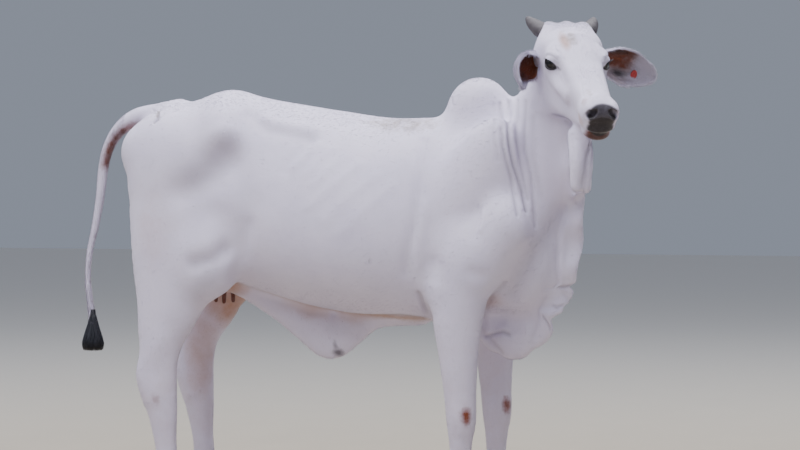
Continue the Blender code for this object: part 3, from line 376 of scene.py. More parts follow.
bodyShapes = (
    (0.07, (0.600, 0.0, 0.900), (0.120, 0.125, 0.180)),           # breast
    (0.06, ((0.535, 0.000, 1.065, 0.200, 0.130), (0.618, 0.000, 1.185, 0.170, 0.106),
            (0.686, -0.008, 1.298, 0.140, 0.088), (0.730, -0.028, 1.398, 0.112, 0.078),
            (0.748, -0.050, 1.490, 0.086, 0.074))),               # neck
    (0.055, (0.458, 0.0, 1.345), (0.104, 0.066, 0.108)),          # hump
    (0.025, [(*station, station[3]) for station in tailForm["line"]]),
)


def bodyField(p):  # the whole animal but for ears, horns, claws and teats
    clay = Clay(p)
    clay.add(trunk(), 0.05)
    for side in (-1, 1):
        quarters(clay, side)
    melted(clay, bodyShapes)
    q = inHead(p)
    near = np.nonzero((np.abs(q - [0.22, 0, -0.1]) < [0.36, 0.24, 0.26]).all(axis=1))[0]
    if len(near):
        clay.depth[near] = faceCuts(melt(clay.depth[near], headField(q[near]), 0.035), q[near])
    depth = underside(p, dewlap(p, clay.depth))
    return np.maximum(depth, legForm["coronet"] - 0.006 - p[:, 2])


# the skin: the field's zero surface, refined where the detail is

skinLook = {
    "cell": 0.0126, "headCell": 0.0093, "tailCell": 0.0057, "coatDepth": 0.0015,
    "fineLines": 0.0075, "finestLines": 0.0043, "settle": (0.003, 0.002, 0.0015, 0.0015),
    "spans": (((-0.905, -0.70, "tailCell"), (-0.70, 0.60, "cell"), (0.60, 1.03, "headCell")),
              ((-0.46, -0.28, "headCell"), (-0.28, -0.055, "cell"), (-0.055, 0.05, "tailCell"),
               (0.05, 0.29, "cell")),
              ((0.03, 1.18, "cell"), (1.18, 1.67, "headCell"))),
}
corners = [(i, j, k) for i in (0, 1) for j in (0, 1) for k in (0, 1)]


def shifted(grid, corner):
    # the grid less its last layer along each axis, or less its first where the corner says 1
    return grid[tuple(slice(1, None) if c else slice(0, -1) for c in corner)]


def hangsTogether(group):  # whether the corners are all reached from the first, by steps along the cell's edges
    rest, reached = group[1:], group[:1]
    for here in reached:
        near = [c for c in rest if sum(abs(a - b) for a, b in zip(c, here)) == 1]
        rest = [c for c in rest if c not in near]
        reached.extend(near)
    return not rest


def plainPatterns():  # which patterns of inner corners give a cell one clean piece of skin
    plain = np.ones(256, bool)
    for pattern in range(256):
        inner = [c for n, c in enumerate(corners) if pattern >> n & 1]
        outer = [c for c in corners if c not in inner]
        plain[pattern] = hangsTogether(inner) and hangsTogether(outer)
        for axis in range(3):
            for level in (0, 1):
                pair = [c for c in inner if c[axis] == level]
                plain[pattern] &= not (len(pair) == 2 and sum(abs(a - b) for a, b in zip(*pair)) == 2)
    return plain


def closeNarrows(depth, cell):  # fills cells in which the skin would touch itself
    plain = plainPatterns()
    views = [shifted(depth, corner) for corner in corners]
    for _ in range(20):
        narrow = ~plain[sum((view < 0).astype(int) << n for n, view in enumerate(views))]
        if not narrow.any():
            return
        for view in views:
            view[narrow] = np.minimum(view[narrow], -0.1 * cell)


def readGrid(field, axes, stride=4, margin=0.06):  # every fourth point first, then all of them near the surface
    grid = np.stack(np.meshgrid(*axes, indexing="ij"), axis=-1)
    coarse = field(grid[::stride, ::stride, ::stride].reshape(-1, 3))
    coarse = coarse.reshape([(len(axis) - 1) // stride + 1 for axis in axes])
    near = np.zeros([n - 1 for n in coarse.shape], bool)
    for corner in corners:
        near |= np.abs(shifted(coarse, corner)) < margin
    near = near.repeat(stride, 0).repeat(stride, 1).repeat(stride, 2)
    wanted = np.zeros(grid.shape[:3], bool)
    for corner in corners:
        here = shifted(wanted, corner)
        here |= near
    depth = coarse[np.ix_(*(np.arange(n) // stride for n in grid.shape[:3]))]
    depth[wanted] = field(grid[wanted])
    return grid, depth


def skinOf(field, axes, cell):
    # one point in each cell that the surface crosses, one quad for each grid edge it crosses
    grid, depth = readGrid(field, axes)
    closeNarrows(depth, cell)
    cells = np.array(depth.shape) - 1
    rings, crossings = [], []
    for axis, step in enumerate(np.eye(3, dtype=int)):
        a = depth[tuple(slice(0, -1) if along else slice(1, -1) for along in step)]
        b = depth[tuple(slice(1, None) if along else slice(1, -1) for along in step)]
        at = np.argwhere((a < 0) != (b < 0))
        da, db = a[tuple(at.T)], b[tuple(at.T)]
        at = at + 1 - step
        start, end = grid[tuple(at.T)], grid[tuple((at + step).T)]
        crossing = start + (end - start) * (da / (da - db))[:, None]
        u, v = (axis + 1) % 3, (axis + 2) % 3
        ring = []
        for du, dv in ((-1, -1), (0, -1), (0, 0), (-1, 0)):
            owner = at.copy()
            owner[:, u] += du
            owner[:, v] += dv
            ring.append(np.ravel_multi_index(tuple(owner.T), cells))
        ring = np.stack(ring, axis=1)
        ring[da > 0] = ring[da > 0][:, ::-1]
        rings.append(ring)
        crossings.append(np.repeat(crossing, 4, axis=0))
    rings, crossings = np.concatenate(rings), np.concatenate(crossings)
    index = np.unique(rings.ravel(), return_inverse=True)[1]
    count = np.bincount(index)
    points = np.stack([np.bincount(index, crossings[:, k]) / count for k in range(3)], axis=1)
    return points, index.reshape(-1, 4)


def refined(points, quads, chosen):
    # chosen quads in four; their neighbours take the new edge points as extra corners
    sides = np.stack([quads, np.roll(quads, -1, axis=1)], axis=-1)
    keys = np.sort(sides, axis=-1) @ np.array([len(points), 1])
    split, back = np.unique(keys[chosen].ravel(), return_inverse=True)
    ends = np.stack([split // len(points), split % len(points)], axis=1)
    middles = len(points) + back.reshape(-1, 4)
    centres = len(points) + len(split) + np.arange(chosen.sum())
    points = np.concatenate([points, points[ends].mean(axis=1), points[quads[chosen]].mean(axis=1)])
    fours = [np.stack([quads[chosen][:, k], middles[:, k], centres, middles[:, k - 1]], axis=1) for k in range(4)]
    rest, restKeys = quads[~chosen], keys[~chosen]
    where = np.clip(np.searchsorted(split, restKeys), 0, len(split) - 1)
    hanging = split[where] == restKeys
    touched = hanging.any(axis=1)
    firstNew = len(points) - len(centres) - len(split)
    loops = np.stack([rest, np.where(hanging, firstNew + where, -1)], axis=-1)[touched].reshape(-1, 8)
    return points, np.concatenate([*fours, rest[~touched]]), loops


def slopeOf(field, points, step=0.0008):  # the field, and its rise over a small step along each axis
    depth = field(points)
    slope = np.stack([field(points + axis) - depth for axis in np.eye(3) * step], axis=1) / step
    return depth, slope


def settled(points, limit):  # moves points down the field's slope onto its surface
    depth, slope = slopeOf(bodyField, points)
    move = slope * (depth / np.maximum((slope**2).sum(axis=1), 0.05))[:, None]
    far = np.linalg.norm(move, axis=1) / limit
    return points - move / np.maximum(far, 1)[:, None]


def meshOf(name, points, *groups):  # faces in arrays of one row each, rows of fewer corners padded with -1
    points = np.asarray(points, float) + standAt
    corner = np.concatenate([group[group >= 0] for group in groups])
    counts = np.concatenate([(group >= 0).sum(axis=1) for group in groups])
    mesh = bpy.data.meshes.new(name)
    mesh.vertices.add(len(points))
    mesh.vertices.foreach_set("co", points.ravel())
    mesh.loops.add(len(corner))
    mesh.loops.foreach_set("vertex_index", corner.astype(np.int32))
    mesh.polygons.add(len(counts))
    mesh.polygons.foreach_set("loop_start", np.concatenate([[0], np.cumsum(counts)[:-1]]).astype(np.int32))
    mesh.update(calc_edges=True)
    mesh.validate()
    mesh.shade_smooth()
    thing = bpy.data.objects.new(name, mesh)
    bpy.context.scene.collection.objects.link(thing)
    return thing


def shell(name, grid):  # rings of points joined to a closed body, each end drawn to the middle of its ring
    rows, columns = grid.shape[:2]
    row, column = (i.ravel() for i in np.meshgrid(np.arange(rows - 1), np.arange(columns), indexing="ij"))
    there = (column + 1) % columns
    sides = np.stack([row * columns + column, row * columns + there,
                      (row + 1) * columns + there, (row + 1) * columns + column], axis=1)
    k, last = np.arange(columns), (rows - 1) * columns
    first, second = np.full(columns, rows * columns), np.full(columns, rows * columns + 1)
    ends = np.concatenate([np.stack([first, (k + 1) % columns, k], axis=1),
                           np.stack([second, last + k, last + (k + 1) % columns], axis=1)])
    points = np.concatenate([grid.reshape(-1, 3), grid[0].mean(axis=0)[None], grid[-1].mean(axis=0)[None]])
    triangles = np.concatenate([sides[:, :3], sides[:, [0, 2, 3]], ends])
    a, b, c = (points[triangles[:, i]] - points[0] for i in range(3))
    if (a * np.cross(b, c)).sum() < 0:
        sides, ends = sides[:, ::-1], ends[:, ::-1]
    return meshOf(name, points, sides, ends)


def ringed(grid, values):  # a value for each point of a shell: those of the grid, and of its two ends
    values = np.broadcast_to(values, grid.shape[:2] + values.shape[2:])
    flat = values.reshape(-1, *values.shape[2:])
    return np.concatenate([flat, values[0].mean(axis=0)[None], values[-1].mean(axis=0)[None]])


def sweep(stations, rows, columns, swell, across=(0, 0, 1)):
    # rings round a spline path, their radius times 1 + swell(share of the path, angle)
    stations = np.array(stations, float)
    fine = np.linspace(0, len(stations) - 1, rows)
    line = threaded(stations, fine)
    along = unit(np.gradient(line[:, :3], axis=0))
    side = unit(np.cross(along, across))[:, None]
    up = np.cross(side[:, 0], along)[:, None]
    turn = fullTurn(columns)[None, :, None]
    s = (fine / (len(stations) - 1))[:, None, None]
    radius = line[:, None, 3:4] * (1 + swell(s, turn))
    return line[:, None, :3] + radius * (np.cos(turn) * side + np.sin(turn) * up)


def spot(p, centre, radii, soft=0.45):  # 1 inside an ellipsoid, fading to 0 at its edge
    far = np.linalg.norm((p - np.array(centre, float)) / np.array(radii, float), axis=-1)
    return 1 - ramp(far, soft, 1.0)


def groove(p, path, half):  # gaussian round a polyline
    path = np.array(path, float)
    best = np.full(len(p), 9.0)
    for start, end in zip(path[:-1], path[1:]):
        along = end - start
        t = np.clip((p - start) @ along / (along @ along), 0, 1)
        best = np.minimum(best, np.linalg.norm(p - start - t[:, None] * along, axis=1))
    return np.exp(-(best / half) ** 2)


sightTurn, sightShare = math.radians(20), 0.75  # along the camera's sight this share of a distance is left out
sight = np.array([math.sin(sightTurn), -math.cos(sightTurn), 0.0])  # from the animal to the camera

# lines of the right side: height and half width in tenths of a millimetre (dents below 0), darkness as painted shade
# of the crease or hollow (lines of height 0 paint shade only), share on the far side, and the path in millimetres
reliefLines = (
    (-58, 50, 0.85, 0.4, ((560, -28, 1384), (595, -134, 1306), (602, -151, 1263), (608, -153, 1221),
     (615, -145, 1179), (637, -130, 1106), (658, -145, 1043))),  # folds of the neck
    (-42, 55, 0.6, 0.4, ((540, -46, 1372), (548, -65, 1335), (580, -156, 1288), (587, -165, 1242),
     (597, -161, 1197), (609, -150, 1149), (643, -188, 1031))),
    (-38, 60, 0.5, 0.4, ((630, -77, 1376), (637, -99, 1288), (642, -110, 1227), (660, -109, 1148),
     (670, -113, 1064), (678, -117, 997))),
    (-34, 50, 0.5, 0.4, ((597, -52, 1380), (604, -75, 1343), (613, -104, 1300), (623, -128, 1251),
     (636, -125, 1161), (655, -124, 1076))),
    (-22, 65, 0.25, 0.4, ((524, -55, 1366), (546, -133, 1324), (556, -163, 1288), (575, -174, 1197))),
    (-22, 80, 0.25, 0.4, ((661, -94, 1324), (667, -103, 1194), (687, -96, 1091))),
    (32, 60, 0.0, 0.4, ((579, -41, 1378), (589, -73, 1337), (607, -128, 1294), (614, -142, 1251),
     (623, -135, 1197), (647, -121, 1112), (664, -123, 1052))),
    (28, 60, 0.0, 0.4, ((552, -42, 1372), (563, -74, 1325), (592, -155, 1275), (599, -159, 1227),
     (618, -142, 1155), (648, -163, 1052))),
    # below the hip: a dent, and painted shade of the hollow on lines of height 0
    (-160, 500, 0.0, 1.0, ((-318, -185, 1195), (-360, -192, 1148), (-412, -198, 1112), (-460, -205, 1096))),
    (0, 600, 0.52, 1.0, ((-368, -195, 1180), (-412, -200, 1156))),
    (0, 420, 0.3, 1.0, ((-318, -188, 1245), (-368, -195, 1190), (-450, -202, 1145))),
    (0, 270, 0.4, 1.0, ((-250, -120, 1318), (-189, -138, 1278), (-118, -150, 1263), (-50, -155, 1256))),
    (-80, 190, 0.0, 1.0, ((-264, -108, 1340), (-191, -135, 1290), (-40, -150, 1262))),  # edge of the loin
    (35, 140, 0.0, 1.0, ((-225, -100, 1330), (-130, -112, 1310), (-27, -122, 1294))),
    (34, 100, 0.0, 1.0, ((-18, -158, 1250), (-55, -183, 1210), (-85, -200, 1173))),  # ribs
    (-30, 120, 0.0, 1.0, ((-45, -150, 1250), (-82, -175, 1205), (-110, -195, 1160))),
    (20, 90, 0.0, 1.0, ((28, -167, 1235), (-2, -191, 1197), (-30, -212, 1151))),
    (22, 110, 0.0, 1.0, ((133, -190, 1188), (61, -225, 1121), (-18, -242, 1050))),
    (18, 110, 0.0, 1.0, ((190, -203, 1151), (106, -239, 1075), (35, -251, 1008))),
    (18, 90, 0.0, 1.0, ((82, -179, 1213), (28, -208, 1160), (-8, -225, 1118))),
    (18, 130, 0.0, 1.0, ((246, -206, 1121), (172, -241, 1051), (96, -256, 968))),
    # root of the tail
    (-70, 42, 1.0, 0.8, ((-595, -66, 1361), (-580, -110, 1347), (-570, -140, 1330), (-578, -149, 1318))),
    (-28, 34, 0.5, 0.8, ((-632, -37, 1360), (-620, -75, 1345), (-606, -110, 1335))),
    (-30, 50, 0.3, 0.8, ((-574, -140, 1324), (-555, -120, 1346))),
    (-60, 480, 0.16, 1.0, ((-287, -190, 1170), (-245, -200, 1125), (-222, -214, 1066), (-245, -214, 999),
     (-285, -208, 940))),  # front of the thigh
    (-110, 270, 0.5, 1.0, ((-305, -222, 918), (-345, -226, 890), (-405, -228, 876))),
    (0, 300, 0.34, 1.0, ((-335, -222, 880), (-365, -222, 830), (-400, -220, 785))),
    (-60, 200, 0.1, 1.0, ((-229, -216, 996), (-255, -194, 902), (-290, -183, 830))),
    (-60, 150, 0.1, 1.0, ((323, -120, 1252), (331, -181, 1136), (329, -209, 1030), (304, -221, 921),
     (294, -211, 856))),  # behind the shoulder
    (45, 130, 0.0, 1.0, ((347, -199, 1063), (336, -212, 921), (329, -183, 801))),
    (-70, 70, 0.6, 1.0, ((320, -176, 792), (323, -131, 744), (335, -110, 700))),  # elbow
    (-35, 110, 0.1, 1.0, ((517, -188, 1055), (518, -202, 1010), (513, -216, 968))),
    (40, 70, 0.0, 1.0, ((539, -197, 1037), (540, -207, 1010), (531, -213, 983))),
    (-50, 200, 0.0, 1.0, ((382, -204, 888), (390, -211, 839))),
    (-50, 180, 0.0, 1.0, ((504, -225, 859), (538, -214, 847))),
    (-60, 110, 0.5, 1.0, ((587, -131, 815), (530, -112, 771), (486, -39, 711), (480, -30, 662))),
    (-60, 65, 0.7, 1.0, ((486, -28, 652), (520, -32, 662), (564, -30, 659))),  # brisket
    (-40, 60, 0.4, 1.0, ((500, -29, 650), (517, -24, 619), (537, -15, 594))),
    (-120, 330, 0.32, 0.6, ((740, -39, 1030), (703, -76, 954), (662, -116, 891), (600, -110, 796))),
    (-34, 70, 0.2, 1.0, ((748, -37, 1057), (730, -38, 975), (722, -38, 886), (719, -26, 813))),
    (34, 90, 0.0, 1.0, ((759, -29, 1057), (740, -30, 975), (729, -23, 819))),
    (-60, 46, 0.5, 1.0, ((733, -18, 810), (750, -9, 808), (765, -4, 814))),  # rim of the dewlap
    (-30, 60, 0.2, 1.0, ((732, -13, 788), (743, -6, 776), (752, -2, 766))),
    (-55, 48, 0.5, 1.0, ((711, -19, 748), (723, -16, 742), (740, -10, 750))),
    (-55, 48, 0.5, 1.0, ((687, -21, 705), (694, -16, 690), (698, -10, 674))),
    (-26, 80, 0.2, 1.0, ((682, -37, 770), (653, -24, 692), (638, -19, 630))),
    (-20, 40, 0.3, 1.0, ((375, -28, 1392), (384, -44, 1370))),  # behind the hump
    (-45, 70, 0.7, 1.0, ((-360, -100, 785), (-270, -80, 775), (-180, -60, 745), (-90, -50, 715), (78, -60, 708),
     (232, -95, 716), (300, -75, 705))),  # belly
    (-45, 50, 0.5, 0.2, ((776, -99, 1210), (777, -99, 1183), (775, -85, 1149), (779, -68, 1102))),
    (-75, 60, 0.8, 0.0, ((860, -255, 1126), (868, -256, 1153), (874, -256, 1183), (881, -256, 1212),
     (889, -256, 1240))),  # between the lobes of the throat flap
    (-8, 20, 1.0, 0.0, ((187, -247, 902), (186, -243, 884))),  # a scratch, darkened in its own colour through the painted-shade channel
)
faceLines = (  # the same for the head, in its own axes
    (-15, 32, 0.8, 1.0, ((445, -50, -100), (420, -52, -100), (385, -53, -94))),  # mouth
    (-20, 34, 0.8, 1.0, ((184, -77, -44), (192, -73, -45), (206, -67, -40))),  # tear duct
    (-18, 80, 0.0, 1.0, ((183, -91, -77), (200, -82, -105))),
    (-14, 30, 0.3, 1.0, ((135, -98, -40), (150, -96, -18), (172, -88, -10), (190, -76, -13))),
    (18, 45, 0.0, 1.0, ((130, -90, -24), (156, -88, -4), (186, -70, -2))),
    (-12, 30, 0.3, 1.0, ((400, -52, -70), (390, -54, -85), (384, -53, -96))),
    (14, 30, 0.0, 1.0, ((215, -64, -50), (262, -58, -70), (300, -52, -88), (330, -50, -86))),
    (-12, 40, 0.1, 1.0, ((300, -30, -10), (345, -36, -18), (385, -40, -26))),
)


def squeezed(p, way):  # points less a share of their length along the way
    return p - sightShare * (p @ way)[:, None] * way


def lineSpread(p, path, half, way):
    # points near a path, and how near: gaussian of the distance, shortened along the way
    path, p = squeezed(np.array(path) / 1000, way), squeezed(p, way)
    here = np.nonzero(((p > path.min(axis=0) - 3 * half) & (p < path.max(axis=0) + 3 * half)).all(axis=1))[0]
    return here, groove(p[here], path, half)


def folded(p):  # both sides laid on the right one: in the body's axes, and in the head's
    q = inHead(p)
    return ((reliefLines, sight, oneSide(p, -1), p[:, 1] > 0),
            (faceLines, sight @ headAxes, oneSide(q, -1), q[:, 1] > 0))


def relief(p):  # how far the skin stands out of the plain form, and the painted shade of its creases and hollows
    out, dark = np.zeros(len(p)), np.zeros(len(p))
    for lines, way, near, far in folded(p):
        for height, half, shade, farShare, path in lines:
            here, spread = lineSpread(near, path, half / 10000, way)
            spread = spread * np.where(far[here], farShare, 1.0)
            out[here] += height / 10000 * spread
            dark[here] = np.maximum(dark[here], shade * spread)
    return out, dark


def byLines(p, finest):  # where lines narrower than this pass
    near = np.zeros(len(p), bool)
    for lines, way, side, _ in folded(p):
        for _, half, _, _, path in lines:
            if half / 10000 < finest:
                here, spread = lineSpread(side, path, 2.2 * (half / 10000), way)
                near[here] |= spread > 0.35
    return near


tailCrease = ((-0.592, -0.074, 1.359), (-0.580, -0.110, 1.347), (-0.571, -0.138, 1.331), (-0.578, -0.149, 1.318))
underTail = ((-0.640, -0.080, 1.300), (-0.680, -0.040, 1.298), (-0.718, -0.024, 1.298), (-0.744, -0.026, 1.288),
             (-0.768, -0.027, 1.268), (-0.784, -0.027, 1.244), (-0.793, -0.028, 1.220), (-0.800, -0.028, 1.190))
bellyCrease = ((-0.34, -0.085, 0.775), (-0.22, -0.065, 0.750), (-0.10, -0.040, 0.722), (0.05, -0.045, 0.706),
               (0.18, -0.070, 0.706), (0.29, -0.060, 0.696))
# the dewlap's rim, round a middle in its own plane: how far its scallops draw in, by the angle in degrees
hemLook = {
    "middle": (0.585, 0.800), "inner": 0.07, "outer": 0.16, "curl": 0.5,
    "angle": (-118, -106, -98, -90, -82, -73, -66, -58, -48, -39, -32, -26, -19, -13, -7, 0, 3, 7, 14),
    "pull": (0, 0.009, 0.003, 0, 0.003, 0.010, 0.004, 0.002, 0.008, 0.027, 0.021, 0.009, 0.011, 0.002, 0, 0.004,
             0.012, 0.001, 0),
}


def hem(p):  # the pull at each point, its share there, and the way to the middle
    x, z = p[:, 0] - hemLook["middle"][0], p[:, 2] - hemLook["middle"][1]
    far = np.hypot(x, z)
    share = ramp(far, hemLook["inner"], hemLook["outer"]) * ramp(-np.abs(p[:, 1]), -0.075, -0.045)
    share = share * ramp(x, -0.13, -0.08)
    pull = share * spline(hemLook["angle"], hemLook["pull"], np.degrees(np.arctan2(z, x)))
    inwards = np.stack([-x, np.full(len(p), -hemLook["curl"]) * far, -z], axis=1) / far[:, None]
    return pull[:, None] * inwards, share


def gridAxes():
    # the planes of the grid: finer at tail, head and middle, each count one more than a multiple of four
    axes = []
    for spans in skinLook["spans"]:
        axis = np.concatenate([np.arange(start, end, skinLook[cell]) for start, end, cell in spans])
        axis = axis[np.concatenate([[True], np.diff(axis) > 0.002])]
        more = np.arange(1, 1 + (1 - len(axis)) % 4)
        axes.append(np.concatenate([axis, axis[-1] + skinLook["cell"] * more]))
    return axes


def marksOf(p):  # masks by place: dark skin with painted shadow at the tail, rust, warm skin with painted warm shade, dirt with painted shade
    q = inHead(p)
    m, flat = oneSide(q), oneSide(p, -1)
    lids = np.where(q[:, 1:2] < 0, (0.0315, 0.030, 0.0170), (0.0270, 0.030, 0.0160))
    dark = np.maximum.reduce([
        0.935 * spot(m, (0.474, 0.0, -0.041), (0.042, 0.052, 0.037), 0.80),   # nose pad
        spot(m, (0.480, 0.0, -0.066), (0.034, 0.047, 0.026), 0.75),
        spot(m, (0.478, 0.0, -0.086), (0.036, 0.051, 0.032), 0.72),           # upper lip
        0.70 * spot(m, (0.464, 0.0, -0.118), (0.036, 0.048, 0.027), 0.55),    # lower lip
        spot(m, (0.473, 0.036, -0.040), (0.026, 0.017, 0.022), 0.6),          # nostril
        spot(m, eye + (0.006, 0.010, 0.0), lids, 0.80),
        0.7 * spot(m, (0.194, 0.072, -0.039), (0.013, 0.010, 0.007), 0.4),
        0.8 * spot(p, (-0.004, -0.015, 0.592), (0.030, 0.030, 0.020), 0.2),   # tip of the navel fold
        0.6 * spot(p, (-0.010, -0.020, 0.618), (0.010, 0.030, 0.020), 0.2),
        # painted shadow under the tail and in the crease at its root, this and the next
        0.50 * groove(p, underTail[3:], 0.013),
        0.60 * groove(flat, tailCrease, 0.0050),
    ])
    rust = np.maximum.reduce([
        0.95 * spot(p, (0.484, -0.200, 0.419), (0.026, 0.034, 0.042), 0.30),  # knees and hocks
        0.85 * spot(p, (0.504, 0.135, 0.430), (0.018, 0.040, 0.040), 0.30),
        0.35 * spot(p, (-0.548, -0.205, 0.445), (0.022, 0.030, 0.030), 0.2),
        0.95 * spot(m, (0.455, 0.0, -0.120), (0.044, 0.052, 0.028), 0.55),    # chin
        0.85 * spot(m, (0.466, 0.0, -0.107), (0.042, 0.050, 0.019), 0.6),
        0.30 * spot(m, (0.425, 0.045, -0.024), (0.034, 0.026, 0.020), 0.2),
        0.95 * groove(p, underTail, 0.020),
    ])
    warmAndShade = np.maximum.reduce([
        # painted warm shade under the belly and on the far hind leg's inner side, this and the next two
        0.85 * spot(p, (-0.400, -0.045, 0.815), (0.150, 0.130, 0.085), 0.3),  # groin
        0.85 * spot(p, (-0.420, 0.120, 0.760), (0.160, 0.090, 0.170), 0.2),
        0.55 * spot(p, (-0.520, 0.110, 0.560), (0.120, 0.080, 0.240), 0.1),
        0.90 * groove(flat, bellyCrease, 0.026),
        0.80 * spot(p, (-0.700, 0.0, 1.255), (0.060, 0.045, 0.070), 0.3),
        0.18 * spot(p, (-0.560, -0.200, 0.980), (0.120, 0.080, 0.200), 0.2),
        0.50 * spot(m, (0.430, 0.052, -0.080), (0.040, 0.030, 0.034), 0.2),
        0.75 * spot(q, (0.122, -0.040, 0.014), (0.075, 0.024, 0.026), 0.1),   # stain of the forehead
        # painted warm shade between the fore leg and the dewlap
        0.35 * spot(flat, (0.500, -0.080, 0.780), (0.110, 0.080, 0.070), 0.2),
        # painted shade: warmer towards the bottom
        0.14 * ramp(-p[:, 2], -0.80, -0.45),
    ])
    dirtAndShade = np.maximum.reduce([
        0.50 * spot(p, (-0.785, -0.020, 1.215), (0.026, 0.040, 0.050), 0.3),
        # painted shade in the crease at the tail's root
        0.95 * groove(flat, tailCrease, 0.0042),
        # darker towards the bottom of the legs: dirt and painted shade
        0.35 * ramp(-p[:, 2], -0.34, -0.10),
        0.38 * spot(p, (0.230, -0.060, 1.310), (0.180, 0.09, 0.055), 0.3),
        0.55 * spot(q, (0.116, -0.018, 0.018), (0.055, 0.025, 0.022), 0.1),
        0.35 * spot(q, (0.385, -0.024, -0.012), (0.034, 0.016, 0.016), 0.1),
    ])
    return np.stack([dark, rust, warmAndShade, dirtAndShade], axis=1)


def lieDown(p):  # 1 where the hair runs down the limb, 0 where it runs along the trunk
    return np.maximum(ramp(-p[:, 2], -0.80, -0.66), ramp(-p[:, 0], 0.72, 0.76))


def setLayer(thing, name, values, kind="FLOAT_COLOR", key="color"):
    # an attribute of the mesh, one value a point
    layer = thing.data.attributes.new(name, kind, "POINT")
    layer.data.foreach_set(key, values.astype(np.float32).ravel())


def paint(thing, masks, paintedShade=0.0, down=1.0, strand=0.5):  # the masks as two colour attributes; the second holds painted shade, the way the hair lies, the strand's tone and 1
    count = len(thing.data.vertices)
    second = np.stack([np.broadcast_to(v, count) for v in (paintedShade, down, strand, 1.0)], axis=1)
    for name, values in (("marks", masks), ("coatMasks", second)):
        setLayer(thing, name, np.clip(values, 0, 1))


def buildSkin():  # the field read, refined twice, settled on the surface, and moved by relief and hem
    points, quads = skinOf(bodyField, gridAxes(), skinLook["cell"])
    print("skin read:", len(quads), "quads")
    points = settled(points, skinLook["settle"][0])
    middle = points[quads].mean(axis=1)
    onHead = (np.abs(inHead(middle) - [0.225, 0, -0.10]) < [0.275, 0.13, 0.16]).all(axis=1)
    atHem = (hem(middle)[1] > 0.35) & (middle[:, 0] > 0.50) & (middle[:, 2] < 0.90)
    points, quads, loops = refined(points, quads, onHead | atHem | byLines(middle, skinLook["fineLines"]))
    points = settled(points, skinLook["settle"][1])
    middle = points[quads].mean(axis=1)
    q = inHead(middle)
    atEye = np.linalg.norm(oneSide(q) - eye, axis=1) < 0.036
    atNose = (q[:, 0] > 0.395) & (q[:, 2] > -0.115)
    points, quads, more = refined(points, quads, atEye | atNose | byLines(middle, skinLook["finestLines"]))
    loops = np.concatenate([loops, more])
    for limit in skinLook["settle"][2:]:
        points = settled(points, limit)
    normal = unit(slopeOf(bodyField, points)[1])
    # the relief's dents, and its painted shade of creases and hollows for the coat's colour
    out, paintedShade = relief(points)
    points = points + normal * (out - skinLook["coatDepth"])[:, None] + hem(points)[0]
    skin = meshOf("skin", points, quads, loops)
    paint(skin, marksOf(points), paintedShade, lieDown(points))
    print("skin made:", len(quads) * 2 + (loops >= 0).sum() - 2 * len(loops), "triangles")
    return skin


# shader groups, shared by the materials

def node(tree, kind, inputs=None, **settings):  # a node whose inputs are linked to sockets or set to values
    made = tree.nodes.new(kind)
    for key, value in settings.items():
        setattr(made, key, value)
    for key, value in (inputs or {}).items():
        if isinstance(value, bpy.types.NodeSocket):
            tree.links.new(value, made.inputs[key])
        else:
            made.inputs[key].default_value = value
    return made


def turnTo(tree, factor, a, b):  # colour a turns to b by the factor
    return node(tree, "ShaderNodeMix", {0: factor, 6: a, 7: b}, data_type="RGBA").outputs[2]


def mixed(tree, factor, a, b):  # value a turns to b by the factor
    return node(tree, "ShaderNodeMix", {0: factor, 2: a, 3: b}, data_type="FLOAT").outputs[0]


def mathNode(tree, operation, a, b=0.0, clamp=False):  # one operation on one or two values
    return node(tree, "ShaderNodeMath", {0: a, 1: b}, operation=operation, use_clamp=clamp).outputs[0]


def times(tree, a, b, clamp=False):  # a times b, held within 0 and 1 by clamp; the next two in the same way
    return mathNode(tree, "MULTIPLY", a, b, clamp)


def plus(tree, a, b, clamp=False):
    return mathNode(tree, "ADD", a, b, clamp)


def minus(tree, a, b, clamp=False):
    return mathNode(tree, "SUBTRACT", a, b, clamp)


def attribute(tree, name):  # what the mesh carries under this name
    return node(tree, "ShaderNodeAttribute", attribute_name=name).outputs


def channels(tree, color):  # red, green and blue
    return node(tree, "ShaderNodeSeparateColor", {0: color}).outputs


def noise(tree, where, scale, detail=3.0, rough=0.55):  # 0 to 1, with so many spots to a metre
    inputs = {"Vector": where, "Scale": scale, "Detail": detail, "Roughness": rough}
    return node(tree, "ShaderNodeTexNoise", inputs).outputs[0]


def stretched(tree, where, scale):  # the place times the scale, axis by axis
    return node(tree, "ShaderNodeMapping", {"Vector": where, "Scale": scale}).outputs[0]


def shaderGroup(name, inputs, outputs, fill):
    # inputs as name: (kind, value); fill gets the tree and the inputs' sockets
    tree = bpy.data.node_groups.new(name, "ShaderNodeTree")
    for label, (kind, value) in inputs.items():
        socket = tree.interface.new_socket(label, in_out="INPUT", socket_type="NodeSocket" + kind)
        if value is not None:
            socket.default_value = value
    for label, kind in outputs.items():
        tree.interface.new_socket(label, in_out="OUTPUT", socket_type="NodeSocket" + kind)
    made = fill(tree, tree.nodes.new("NodeGroupInput").outputs)
    end = tree.nodes.new("NodeGroupOutput")
    for label, socket in made.items():
        tree.links.new(socket, end.inputs[label])
    return tree


def furGrainFill(tree, given):  # fine streaks along the trunk and, by Down, down the limbs
    along = noise(tree, stretched(tree, given["Where"], (0.10, 1.0, 1.0)), given["Fine"], 2.0)
    down = noise(tree, stretched(tree, given["Where"], (1.0, 1.0, 0.10)), given["Fine"], 2.0)
    streak = mixed(tree, given["Down"], along, down)
    clump = noise(tree, given["Where"], times(tree, given["Fine"], 0.12), 2.0)
    return {"Height": plus(tree, times(tree, streak, 0.7), times(tree, clump, 0.6)),
            "Streak": streak}


